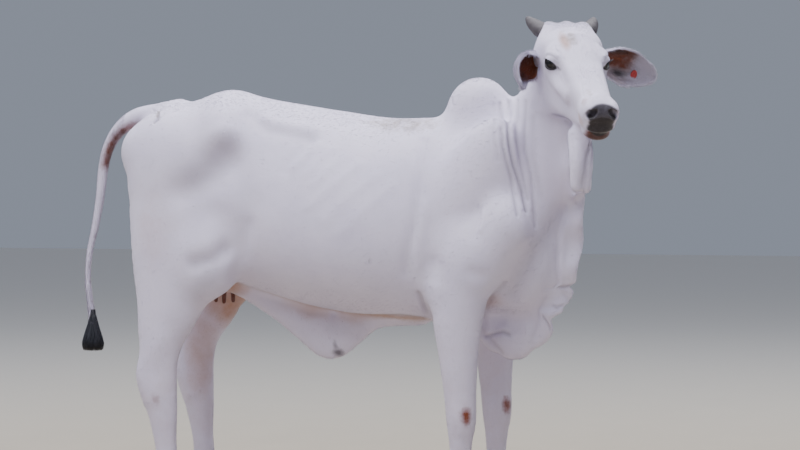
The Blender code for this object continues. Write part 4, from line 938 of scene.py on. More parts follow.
def stainAndShadeFill(tree, given):  # a stain, and on the coat also painted shade, laid over a colour by its mask, its edge broken by noise
    broken = noise(tree, given["Where"], given["Break"], 5.0, 0.65)
    edge = times(tree, minus(tree, broken, 0.5), given["Rough edge"])
    edge = plus(tree, given["Mask"], edge, True)
    cover = times(tree, edge, times(tree, given["Mask"], 4.0, True))
    cover = times(tree, cover, given["Strength"], True)
    return {"Color": turnTo(tree, cover, given["Color"], given["Stain"]), "Cover": cover}


def ringsFill(tree, given):  # growth rings along a horn or hoof, by the share of its length, wavering a little
    wave = times(tree, noise(tree, given["Where"], 60.0, 2.0), 0.25)
    phase = times(tree, plus(tree, given["Share"], times(tree, wave, 0.2)), given["Count"])
    ring = mathNode(tree, "SINE", times(tree, phase, 2 * math.pi))
    fibre = noise(tree, stretched(tree, given["Where"], given["Fibre"]), 420.0, 3.0)
    return {"Height": plus(tree, times(tree, ring, 0.3), times(tree, fibre, 0.6)),
            "Fibre": fibre}


furGrain = shaderGroup("furGrain", {"Where": ("Vector", None), "Fine": ("Float", 700.0), "Down": ("Float", 0.0)},
                       {"Height": "Float", "Streak": "Float"}, furGrainFill)
stainAndShadeWash = shaderGroup("stainAndShadeWash", {
    "Where": ("Vector", None), "Color": ("Color", (1, 1, 1, 1)), "Stain": ("Color", (0.2, 0.1, 0.05, 1)),
    "Mask": ("Float", 0.0), "Break": ("Float", 60.0), "Rough edge": ("Float", 0.9), "Strength": ("Float", 1.0),
}, {"Color": "Color", "Cover": "Float"}, stainAndShadeFill)
growthRings = shaderGroup("growthRings", {
    "Where": ("Vector", None), "Share": ("Float", 0.0), "Count": ("Float", 8.0),
    "Fibre": ("Vector", (1.0, 1.0, 0.1)),
}, {"Height": "Float", "Fibre": "Float"}, ringsFill)


def place(tree, group, **inputs):  # a group's node, with these inputs
    named = {key.replace("_", " "): value for key, value in inputs.items()}
    return node(tree, "ShaderNodeGroup", named, node_tree=group)


def newMaterial(name, **sockets):  # a Principled shader with these values on its own sockets
    finish = bpy.data.materials.new(name)
    finish.use_nodes = True
    tree = finish.node_tree
    shader = tree.nodes["Principled BSDF"]
    for label, value in sockets.items():
        shader.inputs[label.replace("_", " ")].default_value = value
    where = node(tree, "ShaderNodeTexCoord").outputs["Object"]
    return finish, tree, shader, where


def feed(tree, shader, tone, rough):  # colour and roughness into the shader
    tree.links.new(tone, shader.inputs["Base Color"])
    tree.links.new(rough, shader.inputs["Roughness"])


def bump(tree, shader, height, strength, distance):  # the height as a bump of the shader's normal
    made = node(tree, "ShaderNodeBump", {"Height": height, "Strength": strength, "Distance": distance})
    tree.links.new(made.outputs[0], shader.inputs["Normal"])


coatLook = {
    "white": (0.745, 0.690, 0.865, 1), "shade": (0.58, 0.535, 0.715, 1), "creaseShade": (0.29, 0.260, 0.33, 1),
    "skin": (0.018, 0.0130, 0.018, 1), "rust": (0.200, 0.044, 0.018, 1), "warmAndShade": (0.42, 0.235, 0.160, 1),
    "dirtAndShade": (0.22, 0.165, 0.12, 1), "roughness": 0.66, "bareRoughness": 0.36, "sheen": 0.20,
}


def coatMaterial():
    # white hair, toned by mottle and grain, then painted shade of creases and hollows,
    # warm skin with painted warm shade, dirt with painted shade, rust,
    # and dark skin with painted shadow at the tail, over it
    look = coatLook
    finish, tree, shader, where = newMaterial("coat", Sheen_Weight=look["sheen"], Sheen_Roughness=0.5,
                                              Specular_IOR_Level=0.35)
    marks = attribute(tree, "marks")
    mark, mask = channels(tree, marks["Color"]), channels(tree, attribute(tree, "coatMasks")["Color"])
    grain = place(tree, furGrain, Where=where, Fine=620.0, Down=mask[1]).outputs
    mottle = times(tree, minus(tree, noise(tree, where, 5.0, 4.0, 0.6), 0.40, True), 1.6, True)
    tone = turnTo(tree, mottle, look["white"], look["shade"])
    lit = plus(tree, times(tree, grain["Streak"], 0.40), times(tree, mask[2], 0.14))
    tone = turnTo(tree, minus(tree, lit, 0.15, True), tone, look["shade"])
    # painted shade of creases and hollows, from the first channel of coatMasks
    tone = turnTo(tree, times(tree, mask[0], 0.75), tone, look["creaseShade"])
    # over it: warm skin with painted warm shade, dirt with painted shade, rust, and dark skin with painted shadow at
    # the tail
    for socket, washKey, scale, edge in ((mark[2], "warmAndShade", 14.0, 0.7), (marks["Alpha"], "dirtAndShade", 38.0, 1.6),
                                       (mark[1], "rust", 55.0, 1.0), (mark[0], "skin", 120.0, 0.14)):
        washed = place(tree, stainAndShadeWash, Where=where, Color=tone, Stain=look[washKey], Mask=socket, Break=scale,
                       Rough_edge=edge).outputs
        tone = washed["Color"]
    feed(tree, shader, tone, mixed(tree, mark[0], look["roughness"], look["bareRoughness"]))
    cobble = node(tree, "ShaderNodeTexVoronoi", {"Vector": where, "Scale": 330.0}).outputs["Distance"]
    bump(tree, shader, mixed(tree, mark[0], grain["Height"], cobble), 0.30, 0.0016)
    return finish


def hornMaterial(name, base, tip, worn, rings, fibre, roughness):
    # base turns to tip, darkened by fibre, worn in patches
    finish, tree, shader, where = newMaterial(name, Specular_IOR_Level=0.45)
    share = attribute(tree, "share")["Fac"]
    rings = place(tree, growthRings, Where=where, Share=share, Count=rings, Fibre=fibre).outputs
    tone = turnTo(tree, share, base, tip)
    tone = turnTo(tree, times(tree, rings["Fibre"], 0.6), tone, tuple(0.45 * c for c in base[:3]) + (1,))
    stained = place(tree, stainAndShadeWash, Where=where, Color=tone, Stain=worn, Mask=0.45, Break=34.0, Rough_edge=2.2,
                    Strength=0.5).outputs
    feed(tree, shader, stained["Color"], plus(tree, times(tree, rings["Fibre"], 0.25), roughness))
    bump(tree, shader, rings["Height"], 0.5, 0.0008)
    return finish


def eyeMaterial():  # white turns to brown by the iris, and to blue-black by the pupil
    finish, tree, shader, where = newMaterial("eye", Coat_Weight=0.45, Coat_Roughness=0.02, Roughness=0.30,
                                              Specular_IOR_Level=0.25)
    iris, pupil, far = channels(tree, attribute(tree, "gaze")["Color"])
    fibre = noise(tree, where, 900.0, 3.0)
    brown = turnTo(tree, fibre, (0.003, 0.003, 0.004, 1), (0.010, 0.007, 0.008, 1))
    white = turnTo(tree, far, (0.030, 0.025, 0.026, 1), (0.12, 0.10, 0.10, 1))
    tone = turnTo(tree, iris, white, brown)
    tone = turnTo(tree, pupil, tone, (0.004, 0.0045, 0.007, 1))
    tree.links.new(tone, shader.inputs["Base Color"])
    return finish


def switchMaterial():  # blue-black, lighter by streak and strand
    finish, tree, shader, where = newMaterial("switchHair", Specular_IOR_Level=0.55, Anisotropic=0.3)
    grain = place(tree, furGrain, Where=where, Fine=900.0, Down=1.0).outputs
    tone = turnTo(tree, grain["Streak"], (0.005, 0.0055, 0.009, 1), (0.018, 0.020, 0.031, 1))
    strand = channels(tree, attribute(tree, "coatMasks")["Color"])[2]
    tone = turnTo(tree, times(tree, strand, 0.5), tone, (0.032, 0.034, 0.046, 1))
    feed(tree, shader, tone, plus(tree, times(tree, grain["Streak"], 0.2), 0.34))
    bump(tree, shader, grain["Height"], 0.4, 0.0010)
    return finish


def tagMaterial():  # two reds by noise, with brown wear
    finish, tree, shader, where = newMaterial("tagPlastic", Specular_IOR_Level=0.5)
    faded = noise(tree, where, 140.0, 4.0)
    tone = turnTo(tree, faded, (0.46, 0.016, 0.026, 1), (0.66, 0.045, 0.055, 1))
    worn = place(tree, stainAndShadeWash, Where=where, Color=tone, Stain=(0.16, 0.07, 0.05, 1), Mask=0.4, Break=220.0,
                 Rough_edge=2.0, Strength=0.6).outputs
    feed(tree, shader, worn["Color"], plus(tree, times(tree, faded, 0.25), 0.28))
    bump(tree, shader, faded, 0.12, 0.0006)
    return finish


def dress(thing, finish, slot, *nodes):  # material, slot (not used), the nodes it takes the place of, and its body
    thing.data.materials.append(finish)
    if nodes:
        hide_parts(*nodes)
    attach(thing, "root")


coat = coatMaterial()
skin = buildSkin()
fleshNames = ("torso", "hump", "neck", "dewlap", "head", "foreleg", "hindleg", "tail_root", "tail_middle",
              "tail_end", "udder", "navel")
dress(skin, coat, "coat", *[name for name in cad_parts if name.startswith(fleshNames)])


# ears: a cupped leaf on a bent line, arcs of a falling angle, two faces that meet in a round rim

earLook = {
    "root": (0.040, 0.078, -0.088), "length": 0.218, "half": 0.067, "thick": 0.0052,
    "s": (0, 0.18, 0.38, 0.60, 0.78, 0.90, 0.97, 1.0), "wide": (0.50, 0.90, 1.00, 0.84, 0.60, 0.42, 0.24, 0.05),
    "angle": (2.1, 1.55, 1.0, 0.6), "ridges": 0.0011,
    "pose": {1: ((0.99, -0.24, 0.22), (0.0, 0.0, 0.03), (0.0, 1.0, 0.1), 1.0),
             -1: ((-1.10, 0.03, 0.14), (0.72, 0.38, 0.30), (0.72, 0.68, 0.0), 1.40)},
    "inside": {1: {"flesh": 0.58, "low": -0.30, "dark": 0.85, "darkAt": 0.72, "darkHalf": 0.26, "rim": 0.96},
               -1: {"flesh": 0.76, "low": -1.30, "dark": 0.95, "darkAt": 0.70, "darkHalf": 0.75, "rim": 1.02}},
    "rows": 96, "columns": 88, "tagAt": 0.665, "tagDrop": 0.014, "tagHalf": 0.0145,
}


def shares(way):  # a way given in shares of the head's left, the level way ahead, and down
    return way[0] * left + way[1] * ahead + way[2] * np.array([0, 0, -1.0])


def earSurface(side, s, t):  # place, the way it opens, the way along: s from root to tip, t from rim to rim
    away, bend, openTo, curl = earLook["pose"][side]
    away, bend = shares(away), shares(bend)
    middle = fromHead(np.array(earLook["root"]) * (1, side, 1)) + earLook["length"] * (s * away + s * s * bend)
    along = unit(away + 2 * s * bend)
    across = unit(np.cross(shares(openTo), along))
    facing = np.cross(along, across)
    reach = earLook["half"] * spline(earLook["s"], earLook["wide"], s) * (1 + 0.02 * np.sin(21 * s + 2 * t))
    angle = curl * spline((0, 0.25, 0.6, 1.0), earLook["angle"], s)
    radius, swing = reach / angle * 1.12, t * angle
    inward = facing * np.cos(swing) - across * np.sin(swing)
    return middle + across * radius * np.sin(swing) + facing * radius * (1 - np.cos(swing)), inward, along


def buildEar(side, word):
    # rings of two faces from rim to rim, lifted by thickness, ridges and veins, and its masks
    s = np.linspace(0, 1, earLook["rows"])[:, None, None]
    turn = fullTurn(earLook["columns"])[None, :, None]
    t = -np.cos(turn) * (1 - 0.02 * s)
    inner = np.clip(np.sin(turn), 0, 1)
    middle, inward, _ = earSurface(side, s, t)
    lift = 0.5 * earLook["thick"] * np.sign(np.sin(turn)) * np.abs(np.sin(turn)) ** 0.45
    window = ramp(s, 0.05, 0.25) * ramp(-s, -0.80, -0.45) * inner
    ridge = earLook["ridges"] * np.sin(15 * t + 2.5 * s) * (1 - t * t)
    vein = 0.5 * earLook["ridges"] * np.sin(9 * t - 11 * s) * ramp(-inner, -0.4, 0.0)
    grid = middle + inward * (lift + ridge * window + vein)
    thing = shell("ear" + word, grid)
    inside = ramp(inner, 0.05, 0.30)
    high = t * side
    look = earLook["inside"][side]
    offRim = inside * ramp(-np.abs(t), -look["rim"], -look["rim"] + 0.12)
    fleshy = offRim * ramp(-s, -look["flesh"] - 0.12, -look["flesh"] + 0.12)
    fleshy = fleshy * ramp(high, look["low"], look["low"] + 0.35)
    upper = offRim * bell(high, look["darkAt"], look["darkHalf"]) * bell(s, 0.22, 0.28)
    patch = inside * bell(high, -0.32, 0.18) * bell(s, 0.42, 0.12) * (side > 0)
    # painted shade at the ear's opening, deep in the cup by its root
    canal = inside * ramp(-s, -0.16, -0.03)
    pink = offRim * ramp(-s, -0.75, -0.30) * (1 - 0.5 * (side > 0))
    dark = np.maximum.reduce([look["dark"] * upper, 0.97 * patch, canal])
    masks = np.concatenate([dark, 0.97 * fleshy, pink, 0.1 * pink], axis=2)
    # painted shade in the grooves between the ear's ridges
    paintedShade = (0.3 + 0.5 * ramp(s, 0.4, 0.6)) * inside * (ridge < -0.0003) * window
    paint(thing, ringed(grid, masks), paintedShade=ringed(grid, paintedShade)[:, 0], down=0.5)
    dress(thing, coat, "coat", "ear_" + word.lower())


for side, word in bothSides:
    buildEar(side, word)
print("ears made")


# horns

hornLook = {
    "stations": ((0.006, 0.050, -0.029, 0.0265), (-0.014, 0.070, -0.027, 0.0262), (-0.036, 0.085, -0.024, 0.0228),
                 (-0.056, 0.096, -0.021, 0.0172), (-0.072, 0.102, -0.019, 0.0112), (-0.080, 0.105, -0.018, 0.0068),
                 (-0.083, 0.106, -0.018, 0.0025)),
    "rings": 5, "ringDepth": 0.020, "rows": 120, "columns": 48,
    "finish": {"base": (0.072, 0.063, 0.073, 1), "tip": (0.085, 0.076, 0.087, 1), "worn": (0.145, 0.128, 0.140, 1),
               "rings": 5.0, "fibre": (1.0, 1.0, 1.0), "roughness": 0.48},
}
hornFinish = hornMaterial("horn", **hornLook["finish"])


def setShare(thing, grid, share):  # the share of its length, from root to tip, for the growth rings
    setLayer(thing, "share", ringed(grid, share), "FLOAT", "value")


def hornSwell(s, turn):  # rings that fade towards the tip, a scaly rough base, a slightly oval section
    rings = hornLook["ringDepth"] * np.sin(2 * math.pi * hornLook["rings"] * s) * ramp(-s, -0.75, -0.15)
    scales = 0.03 * np.sin(9 * turn + 40 * s) * np.sin(70 * s) * ramp(-s, -0.35, -0.05)
    return rings + scales + 0.05 * np.cos(2 * turn)


for side, word in bothSides:
    stations = [(*fromHead((a, side * l, c)), r) for a, l, c, r in hornLook["stations"]]
    grid = sweep(stations, hornLook["rows"], hornLook["columns"], hornSwell)
    horn = shell("horn" + word, grid)
    setShare(horn, grid, np.linspace(0, 1, hornLook["rows"])[:, None])
    dress(horn, hornFinish, "horn", "horn_" + word.lower())
print("horns made")


# eyes: a ball with a bulging cornea and a long level pupil

ballLook = {"iris": 0.66, "pupilWide": 0.40, "pupilTall": 0.17, "bulge": 0.05, "rows": 66, "columns": 72}
eyeFinish = eyeMaterial()


def buildEye(side, word):
    # a ball round the look, swollen towards the front, its masks by the distance from the look
    polar = np.linspace(0, math.pi, ballLook["rows"])[1:-1, None, None]
    turn = fullTurn(ballLook["columns"])[None, :, None]
    look = unit((eyeLook * (1, side, 1)) @ headAxes.T)
    level = unit(np.cross(look, (0, 0, 1)))
    rise = np.cross(level, look)
    x, y = np.sin(polar) * np.cos(turn), np.sin(polar) * np.sin(turn)
    front = np.cos(polar)
    behind = 9.0 * (front < 0)  # no iris and no pupil on the back of the ball
    radius = headForm["eyeRadius"] * (1 + ballLook["bulge"] * ramp(front, 0.72, 1.0))
    grid = fromHead(eye * (1, side, 1)) - 0.002 * (1 + side) * look + radius * (x * level + y * rise + front * look)
    ball = shell("eye" + word, grid)
    fromMiddle = np.hypot(x, y) + behind
    iris = ramp(-fromMiddle, -ballLook["iris"], -ballLook["iris"] + 0.06)
    pupil = ramp(-np.hypot(x / ballLook["pupilWide"], y / ballLook["pupilTall"]) - behind, -1.0, -0.85)
    values = np.concatenate([iris, pupil, ramp(fromMiddle, 0.7, 1.0), 0 * iris + 1], axis=2)
    setLayer(ball, "gaze", ringed(grid, values))
    dress(ball, eyeFinish, "eye", "eye_" + word.lower())


for side, word in bothSides:
    buildEye(side, word)
print("eyes made")


# feet: two hoofs under each leg and two dewclaws behind its fetlock

hoofLook = {
    "front": 0.056, "rear": 0.040, "wide": 0.0185, "cleft": 0.0035, "dewclawZ": 0.128,
    "levels": (0.0, 0.0035, 0.012, 0.034, 0.050, 0.0547), "scale": (0.965, 1.0, 0.97, 0.86, 0.77, 0.70),
    "shift": (0.010, 0.010, 0.008, 0.003, -0.002, -0.003),
    "rings": 7, "ringDepth": 0.010, "rows": 44, "columns": 56,
    "finish": {"base": (0.085, 0.070, 0.062, 1), "tip": (0.040, 0.034, 0.032, 1), "worn": (0.26, 0.21, 0.165, 1),
               "rings": 7.0, "fibre": (1.0, 1.0, 0.12), "roughness": 0.36},
    "spur": ((0.016, 0.020, 0.0112), (0.002, 0.004, 0.0112), (-0.006, -0.008, 0.0088), (-0.010, -0.015, 0.0050),
             (-0.011, -0.017, 0.0015)), "spurRows": 30, "spurColumns": 28,
}
hoofFinish = hornMaterial("hoof", **hoofLook["finish"])


def buildHoof(name, x, y, way):  # rings of a half hoof, longer to the front, flatter towards the cleft
    levels = hoofLook["levels"]
    z = np.interp(np.linspace(0, 1, hoofLook["rows"]), np.linspace(0, 1, len(levels)), levels)[:, None]
    turn = fullTurn(hoofLook["columns"])[None, :]
    scale, shift = (spline(levels, hoofLook[key], z) for key in ("scale", "shift"))
    wave = np.sin(2 * math.pi * hoofLook["rings"] * z / levels[-1])
    rings = 1 + hoofLook["ringDepth"] * wave * ramp(z, 0.004, 0.012)
    along = np.where(np.cos(turn) > 0, hoofLook["front"], hoofLook["rear"]) * np.cos(turn) * scale * rings
    bulge = np.where(np.sin(turn) * way > 0, 1.0, 0.82)
    across = hoofLook["wide"] * np.sin(turn) * bulge * (0.6 + 0.4 * scale) * rings
    grid = np.stack([x + along + shift, y + across, z + 0 * turn], axis=2)
    hoof = shell(name, grid)
    setShare(hoof, grid, 1 - z / levels[-1])
    return hoof


def buildDewclaw(name, x, y, z):  # a short ringed cone behind the fetlock
    stations = [(x + dx, y, z + dz, radius) for dx, dz, radius in hoofLook["spur"]]
    grid = sweep(stations, hoofLook["spurRows"], hoofLook["spurColumns"],
                 lambda s, turn: 0.02 * np.sin(2 * math.pi * 5 * s), across=(0, 1, 0))
    spur = shell(name, grid)
    setShare(spur, grid, np.linspace(0, 1, hoofLook["spurRows"])[:, None])
    return spur


for limbName in ("fore", "hind"):
    for side, word in bothSides:
        stations = legForm[limbName]
        shift = legForm[limbName + "Shift"][side]
        for part, way in (("inner", -side), ("outer", side)):
            tail = f"{limbName}leg_{word.lower()}_{part}"
            y = side * stations[-1][1] + way * (hoofLook["wide"] * 0.82 + hoofLook["cleft"])
            hoof = buildHoof("hoof_" + tail, stations[-1][0] + shift - 0.006, y, way)
            dress(hoof, hoofFinish, "claw", "claw_" + tail)
            spurAt = stations[-3][0] + shift - 0.036, side * stations[-1][1] + way * 0.019, hoofLook["dewclawZ"]
            dress(buildDewclaw("spur_" + tail, *spurAt), hoofFinish, "claw", "dewclaw_" + tail)
print("feet made")


# the teats, the ear's tag and the switch

teatLook = {"x": (-0.445, -0.385), "y": (-0.034, 0.034)}
for number, (x, y) in enumerate([(x, y) for x in teatLook["x"] for y in teatLook["y"]]):
    stations = ((x, y, 0.810, 0.0105), (x, y, 0.790, 0.0082), (x, y * 1.05, 0.765, 0.0070),
                (x, y * 1.08, 0.750, 0.0064), (x, y * 1.10, 0.7435, 0.0045), (x, y * 1.10, 0.7420, 0.0012))
    grid = sweep(stations, 40, 28, lambda s, turn: 0.02 * np.sin(60 * s) + 0.015 * np.sin(3 * turn),
                 across=(0, 1, 0))
    teat = shell(f"teat{number}", grid)
    # the teats darkened evenly by 0.2 through the painted-shade channel
    paint(teat, np.tile([0.45, 0.95, 0.75, 0.2], (len(teat.data.vertices), 1)), paintedShade=0.2)
    dress(teat, coat, "coat")


def buildTag():  # an oval button with a rounded rim, a groove and a raised middle
    half = earLook["tagHalf"]
    radius = np.array([0.15, 0.90, 1.0, 0.97, 0.86, 0.62, 0.56, 0.50, 0.34, 0.30, 0.16]) * half
    height = np.array([-2.0, -2.0, -1.2, 0.6, 1.4, 1.2, 0.6, 1.1, 1.5, 2.9, 3.2]) * 0.001
    at = np.full((1, 1, 1), earLook["tagAt"])
    centre, inward, along = (v.reshape(3) for v in earSurface(1, at, 0 * at))
    centre = centre + inward * 0.0048 + np.array([0, 0, -earLook["tagDrop"]])
    side, turn = np.cross(inward, along), fullTurn(48)[None, :, None]
    grid = (centre + height[:, None, None] * inward
            + radius[:, None, None] * (0.76 * np.cos(turn) * along + np.sin(turn) * side))
    dress(shell("earTag", grid), tagMaterial(), "tag", "ear_tag")


buildTag()
print("tag made")


def bladesMesh(name, paths, halves, across, up, rootUv, thick=0.6):
    # thin three-sided blades, each drawn to a point
    count, knots = paths.shape[:2]
    rings = knots - 1
    body, half = paths[:, :-1], halves[..., None]
    wide, high = across[:, None] * half, up[:, None] * half * thick
    points = np.stack([body + wide, body - wide, body + high], axis=2).reshape(count, -1, 3)
    points = np.concatenate([points, paths[:, -1:]], axis=1)
    each = 3 * rings + 1
    faces = [(0, 2, 1)]
    for ring in range(rings - 1):
        for k in range(3):
            a, b = 3 * ring + k, 3 * ring + (k + 1) % 3
            faces += [(a, b, b + 3), (a, b + 3, a + 3)]
    faces += [(3 * (rings - 1) + k, 3 * (rings - 1) + (k + 1) % 3, each - 1) for k in range(3)]
    faces = np.array(faces)
    a, b, c = (points[0][faces[:, i]] - points[0, 0] for i in range(3))
    if (a * np.cross(b, c)).sum() < 0:
        faces = faces[:, ::-1]
    faces = (faces[None] + each * np.arange(count)[:, None, None]).reshape(-1, 3)
    thing = meshOf(name, points.reshape(-1, 3), faces)
    patch = np.stack([np.tile([0.0, 1.0, 0.5], rings).tolist() + [0.5],
                      np.repeat(np.linspace(0, 0.9, rings), 3).tolist() + [1.0]], axis=1) * 0.003
    uv = (rootUv[:, None] + patch - 0.0015).reshape(-1, 2)
    layer = thing.data.uv_layers.new(name="OFBake")
    layer.data.foreach_set("uv", uv[faces.ravel()].astype(np.float32).ravel())
    return thing, each


switchLook = {
    "z": (0.580, 0.605, 0.640, 0.675, 0.713), "half": (0.031, 0.036, 0.028, 0.017, 0.0085),
    "core": (0.75, 0.72, 0.70, 0.72, 0.90), "coreTop": 0.716, "coreEnd": 0.588,
    "locks": 2600, "lockHalf": 0.0011, "lockTop": 0.712, "lockSpread": 0.085, "seed": 7,
}
darkHair = switchMaterial()


def coreSwell(s, turn):  # clumps round the switch's core
    return 0.05 * np.sin(23 * turn) + 0.03 * np.sin(37 * turn)


def buildSwitch():  # a core of the switch's outline, and locks that wave down round it
    rng = np.random.default_rng(switchLook["seed"])
    x, y = tailForm["line"][-1][0] + 0.003, tailForm["line"][-1][1]
    z = np.linspace(switchLook["coreTop"], switchLook["coreEnd"], 40)
    inner = spline(switchLook["z"], switchLook["half"], z) * spline(switchLook["z"], switchLook["core"], z)
    inner = inner * np.sqrt(np.clip((z - 0.584) / 0.02, 0.05, 1))
    line = np.stack([np.full(40, x), np.full(40, y), z, inner], axis=1)
    core = shell("switchCore", sweep(line, 60, 64, coreSwell, across=(0, 1, 0)))
    paint(core, np.zeros((len(core.data.vertices), 4)), strand=0.2)
    dress(core, darkHair, "switch_hair", "tail_switch")
    n = switchLook["locks"]
    top = switchLook["lockTop"] - switchLook["lockSpread"] * rng.random(n) ** 1.2
    end = switchLook["z"][0] + 0.002 + 0.018 * rng.random(n) ** 2.2
    share = np.sqrt(rng.uniform(0.25, 1.0, n))
    turn = rng.uniform(0, 2 * math.pi, n)
    t = np.linspace(0, 1, 7)[None]
    level = top[:, None] + (end - top)[:, None] * t
    wave = 0.0016 * np.sin(6 * t + rng.uniform(0, 6, (n, 1))) * t
    away = share[:, None] * spline(switchLook["z"], switchLook["half"], level) * (0.86 + 0.14 * t) + wave
    away[:, 0] *= 0.85
    around = turn[:, None] + rng.normal(0, 0.12, (n, 1)) * t
    paths = np.stack([x + away * np.cos(around), y + away * np.sin(around), level], axis=2)
    half = switchLook["lockHalf"] * rng.uniform(0.6, 1.5, (n, 1)) * np.array([0.5, 1.0, 1.1, 1.0, 0.8, 0.5])
    out = np.stack([np.cos(turn), np.sin(turn), 0 * turn], axis=1)
    around = np.stack([-np.sin(turn), np.cos(turn), 0 * turn], axis=1)
    rootUv = np.stack([0.02 + 0.96 * turn / (2 * math.pi), 0.02 + 0.96 * (top - 0.62) / 0.1], axis=1)
    locks, each = bladesMesh("switchLocks", paths, half, around, out, rootUv)
    paint(locks, np.zeros((n * each, 4)), strand=np.repeat(rng.random(n), each))
    dress(locks, darkHair, "switch_hair", "tail_switch")


buildSwitch()
print("switch made")


# lashes of the upper lids

lashLook = {"count": 46, "length": 0.013, "half": 0.00035, "seed": 3}


def buildLashes(side, word):  # curved hairs along the upper edge of the eye's slit, turned outwards
    rng = np.random.default_rng(lashLook["seed"])
    k = np.linspace(-0.95, 0.95, lashLook["count"]) + rng.normal(0, 0.01, lashLook["count"])
    wide, high = unit((0.90, -0.50, 0.05)), unit(np.cross((0.90, -0.50, 0.05), eyeLook))
    high = high * np.sign(high[2])
    k = k[:, None]
    root = eye + 0.0236 * unit(eyeLook * 0.86 + wide * 0.80 * k + high * 0.52 * np.sqrt(1 - 0.55 * k * k))
    way = unit(eyeLook * 0.9 + wide * 0.45 * k + high * 0.10)
    t = np.array([0, 0.35, 0.7, 1.0])[None, :, None]
    length = lashLook["length"] * (1 - 0.35 * k * k) * rng.uniform(0.8, 1.1, k.shape)
    paths = root[:, None] + (way[:, None] * t + (high * 0.28)[None, None] * t * t) * length[:, None]
    paths = fromHead(paths * [1, side, 1])
    across = fromHead(np.broadcast_to(wide * [1, side, 1], root.shape)) - poll
    up = fromHead(np.broadcast_to(high * [1, side, 1], root.shape)) - poll
    half = lashLook["half"] * np.tile([1.0, 0.9, 0.7], (len(k), 1))
    rootUv = np.concatenate([0.5 + 0.45 * k, 0 * k + 0.5], axis=1)
    lashes, each = bladesMesh("lashes" + word, paths, half, across, up, rootUv)
    paint(lashes, np.zeros((len(k) * each, 4)), strand=0.1)
    dress(lashes, darkHair, "switch_hair")


for side, word in bothSides:
    buildLashes(side, word)


# the coat's tufts, thin and lying along the body, thicker sown where they break the outline

def unwrapped(thing):  # an unwrap of the piece's own shape, on which its tufts find their place
    bpy.context.view_layer.objects.active = thing
    thing.select_set(True)
    bpy.ops.object.mode_set(mode="EDIT")
    bpy.ops.mesh.select_all(action="SELECT")
    bpy.ops.uv.smart_project(angle_limit=math.radians(66), island_margin=0.001)
    bpy.ops.object.mode_set(mode="OBJECT")
    thing.select_set(False)


def readBack(source, key, width, kind=np.float32):  # a row of values for each element
    values = np.empty(len(source) * width, kind)
    source.foreach_get(key, values)
    return values.reshape(-1, width)


def cornersOf(thing):  # for each triangle its three points, normals, masks and places on the unwrap
    mesh = thing.data
    mesh.calc_loop_triangles()
    triangles = readBack(mesh.loop_triangles, "vertices", 3, np.int32)
    loops = readBack(mesh.loop_triangles, "loops", 3, np.int32)
    points = readBack(mesh.vertices, "co", 3) - standAt
    normals = readBack(mesh.vertex_normals, "vector", 3)
    marks = readBack(mesh.attributes["marks"].data, "color", 4)
    second = readBack(mesh.attributes["coatMasks"].data, "color", 4)
    uv = readBack(mesh.uv_layers.active.data, "uv", 2)
    return {"points": points[triangles], "normals": normals[triangles], "marks": marks[triangles],
            "second": second[triangles], "uv": uv[loops]}


def rootsOn(host, weight, count, rng):  # random places on the triangles, as many as their area times the weight
    corner = host["points"]
    area = 0.5 * np.linalg.norm(np.cross(corner[:, 1] - corner[:, 0], corner[:, 2] - corner[:, 0]), axis=1)
    share = area * weight
    picked = rng.choice(len(share), count, p=share / share.sum())
    u, v = rng.random(count), rng.random(count)
    u, v = np.where(u + v > 1, 1 - u, u), np.where(u + v > 1, 1 - v, v)
    mix = np.stack([1 - u - v, u, v], axis=1)[:, :, None]
    return {key: (values[picked] * mix).sum(axis=1) for key, values in host.items()}


def lieOf(p):  # the way the hair lies: back and down on the trunk, down the limbs and tail, along the face
    q = inHead(p)
    way = np.tile([-0.85, 0.0, -0.45], (len(p), 1))
    down = lieDown(p)[:, None]
    way = way * (1 - down) + np.array([0.0, 0.0, -1.0]) * down
    onHead = ((q[:, 0] > -0.05) & (np.abs(q[:, 1]) < 0.13) & (q[:, 2] > -0.24))[:, None]
    return np.where(onHead, np.where(q[:, :1] > 0.08, 1.0, -1.0) * face, way)


def sowTufts(name, roots, lengths, half, lift, way, rng):
    # blades laid along the way on the skin, bent up a little
    count = len(lengths)
    normal = unit(roots["normals"])
    way = way + rng.normal(0, 0.16, (count, 3))
    way = unit(way - normal * (way * normal).sum(axis=1, keepdims=True))
    outline = np.maximum(ramp(np.abs(normal[:, 2]), 0.6, 0.95), ramp(np.abs(normal[:, 0]), 0.75, 1.0))
    lift = lift * rng.uniform(0.5, 1.5, count) * (1 + 0.8 * outline)
    t = np.array([0.0, 0.55, 1.0])[None, :, None]
    rise = np.sin(lift)[:, None, None] * t * (1 - 0.35 * t)
    paths = roots["points"][:, None] + lengths[:, None, None] * (way[:, None] * t + normal[:, None] * rise)
    paths = paths - normal[:, None] * 0.0003
    halves = half * rng.uniform(0.7, 1.3, (count, 1)) * np.array([1.0, 0.8])
    tufts, each = bladesMesh(name, paths, halves, np.cross(normal, way), normal, roots["uv"], thick=0.35)
    # the roots' masks and painted shade carried on to the tufts
    marks, second = (np.repeat(roots[key], each, axis=0) for key in ("marks", "second"))
    paint(tufts, marks, second[:, 0], second[:, 1], np.repeat(rng.random(count), each))
    print(name, count * 10, "triangles")
    dress(tufts, coat, "coat")


tuftLook = {
    "trunk": {"count": 17000, "length": 0.0115, "half": 0.00062, "lift": 0.065},
    "front": {"count": 17000, "length": 0.0110, "half": 0.00060, "lift": 0.065},
    "head": {"count": 19000, "length": 0.0078, "half": 0.00048, "lift": 0.11},
    "legs": {"count": 18000, "length": 0.0095, "half": 0.00060, "lift": 0.075},
    "tail": {"count": 9000, "length": 0.0150, "half": 0.00055, "lift": 0.14},
    "ears": {"count": 9000, "length": 0.0140, "half": 0.00042, "lift": 0.20},
    "seed": 11, "earSeed": 17,
}


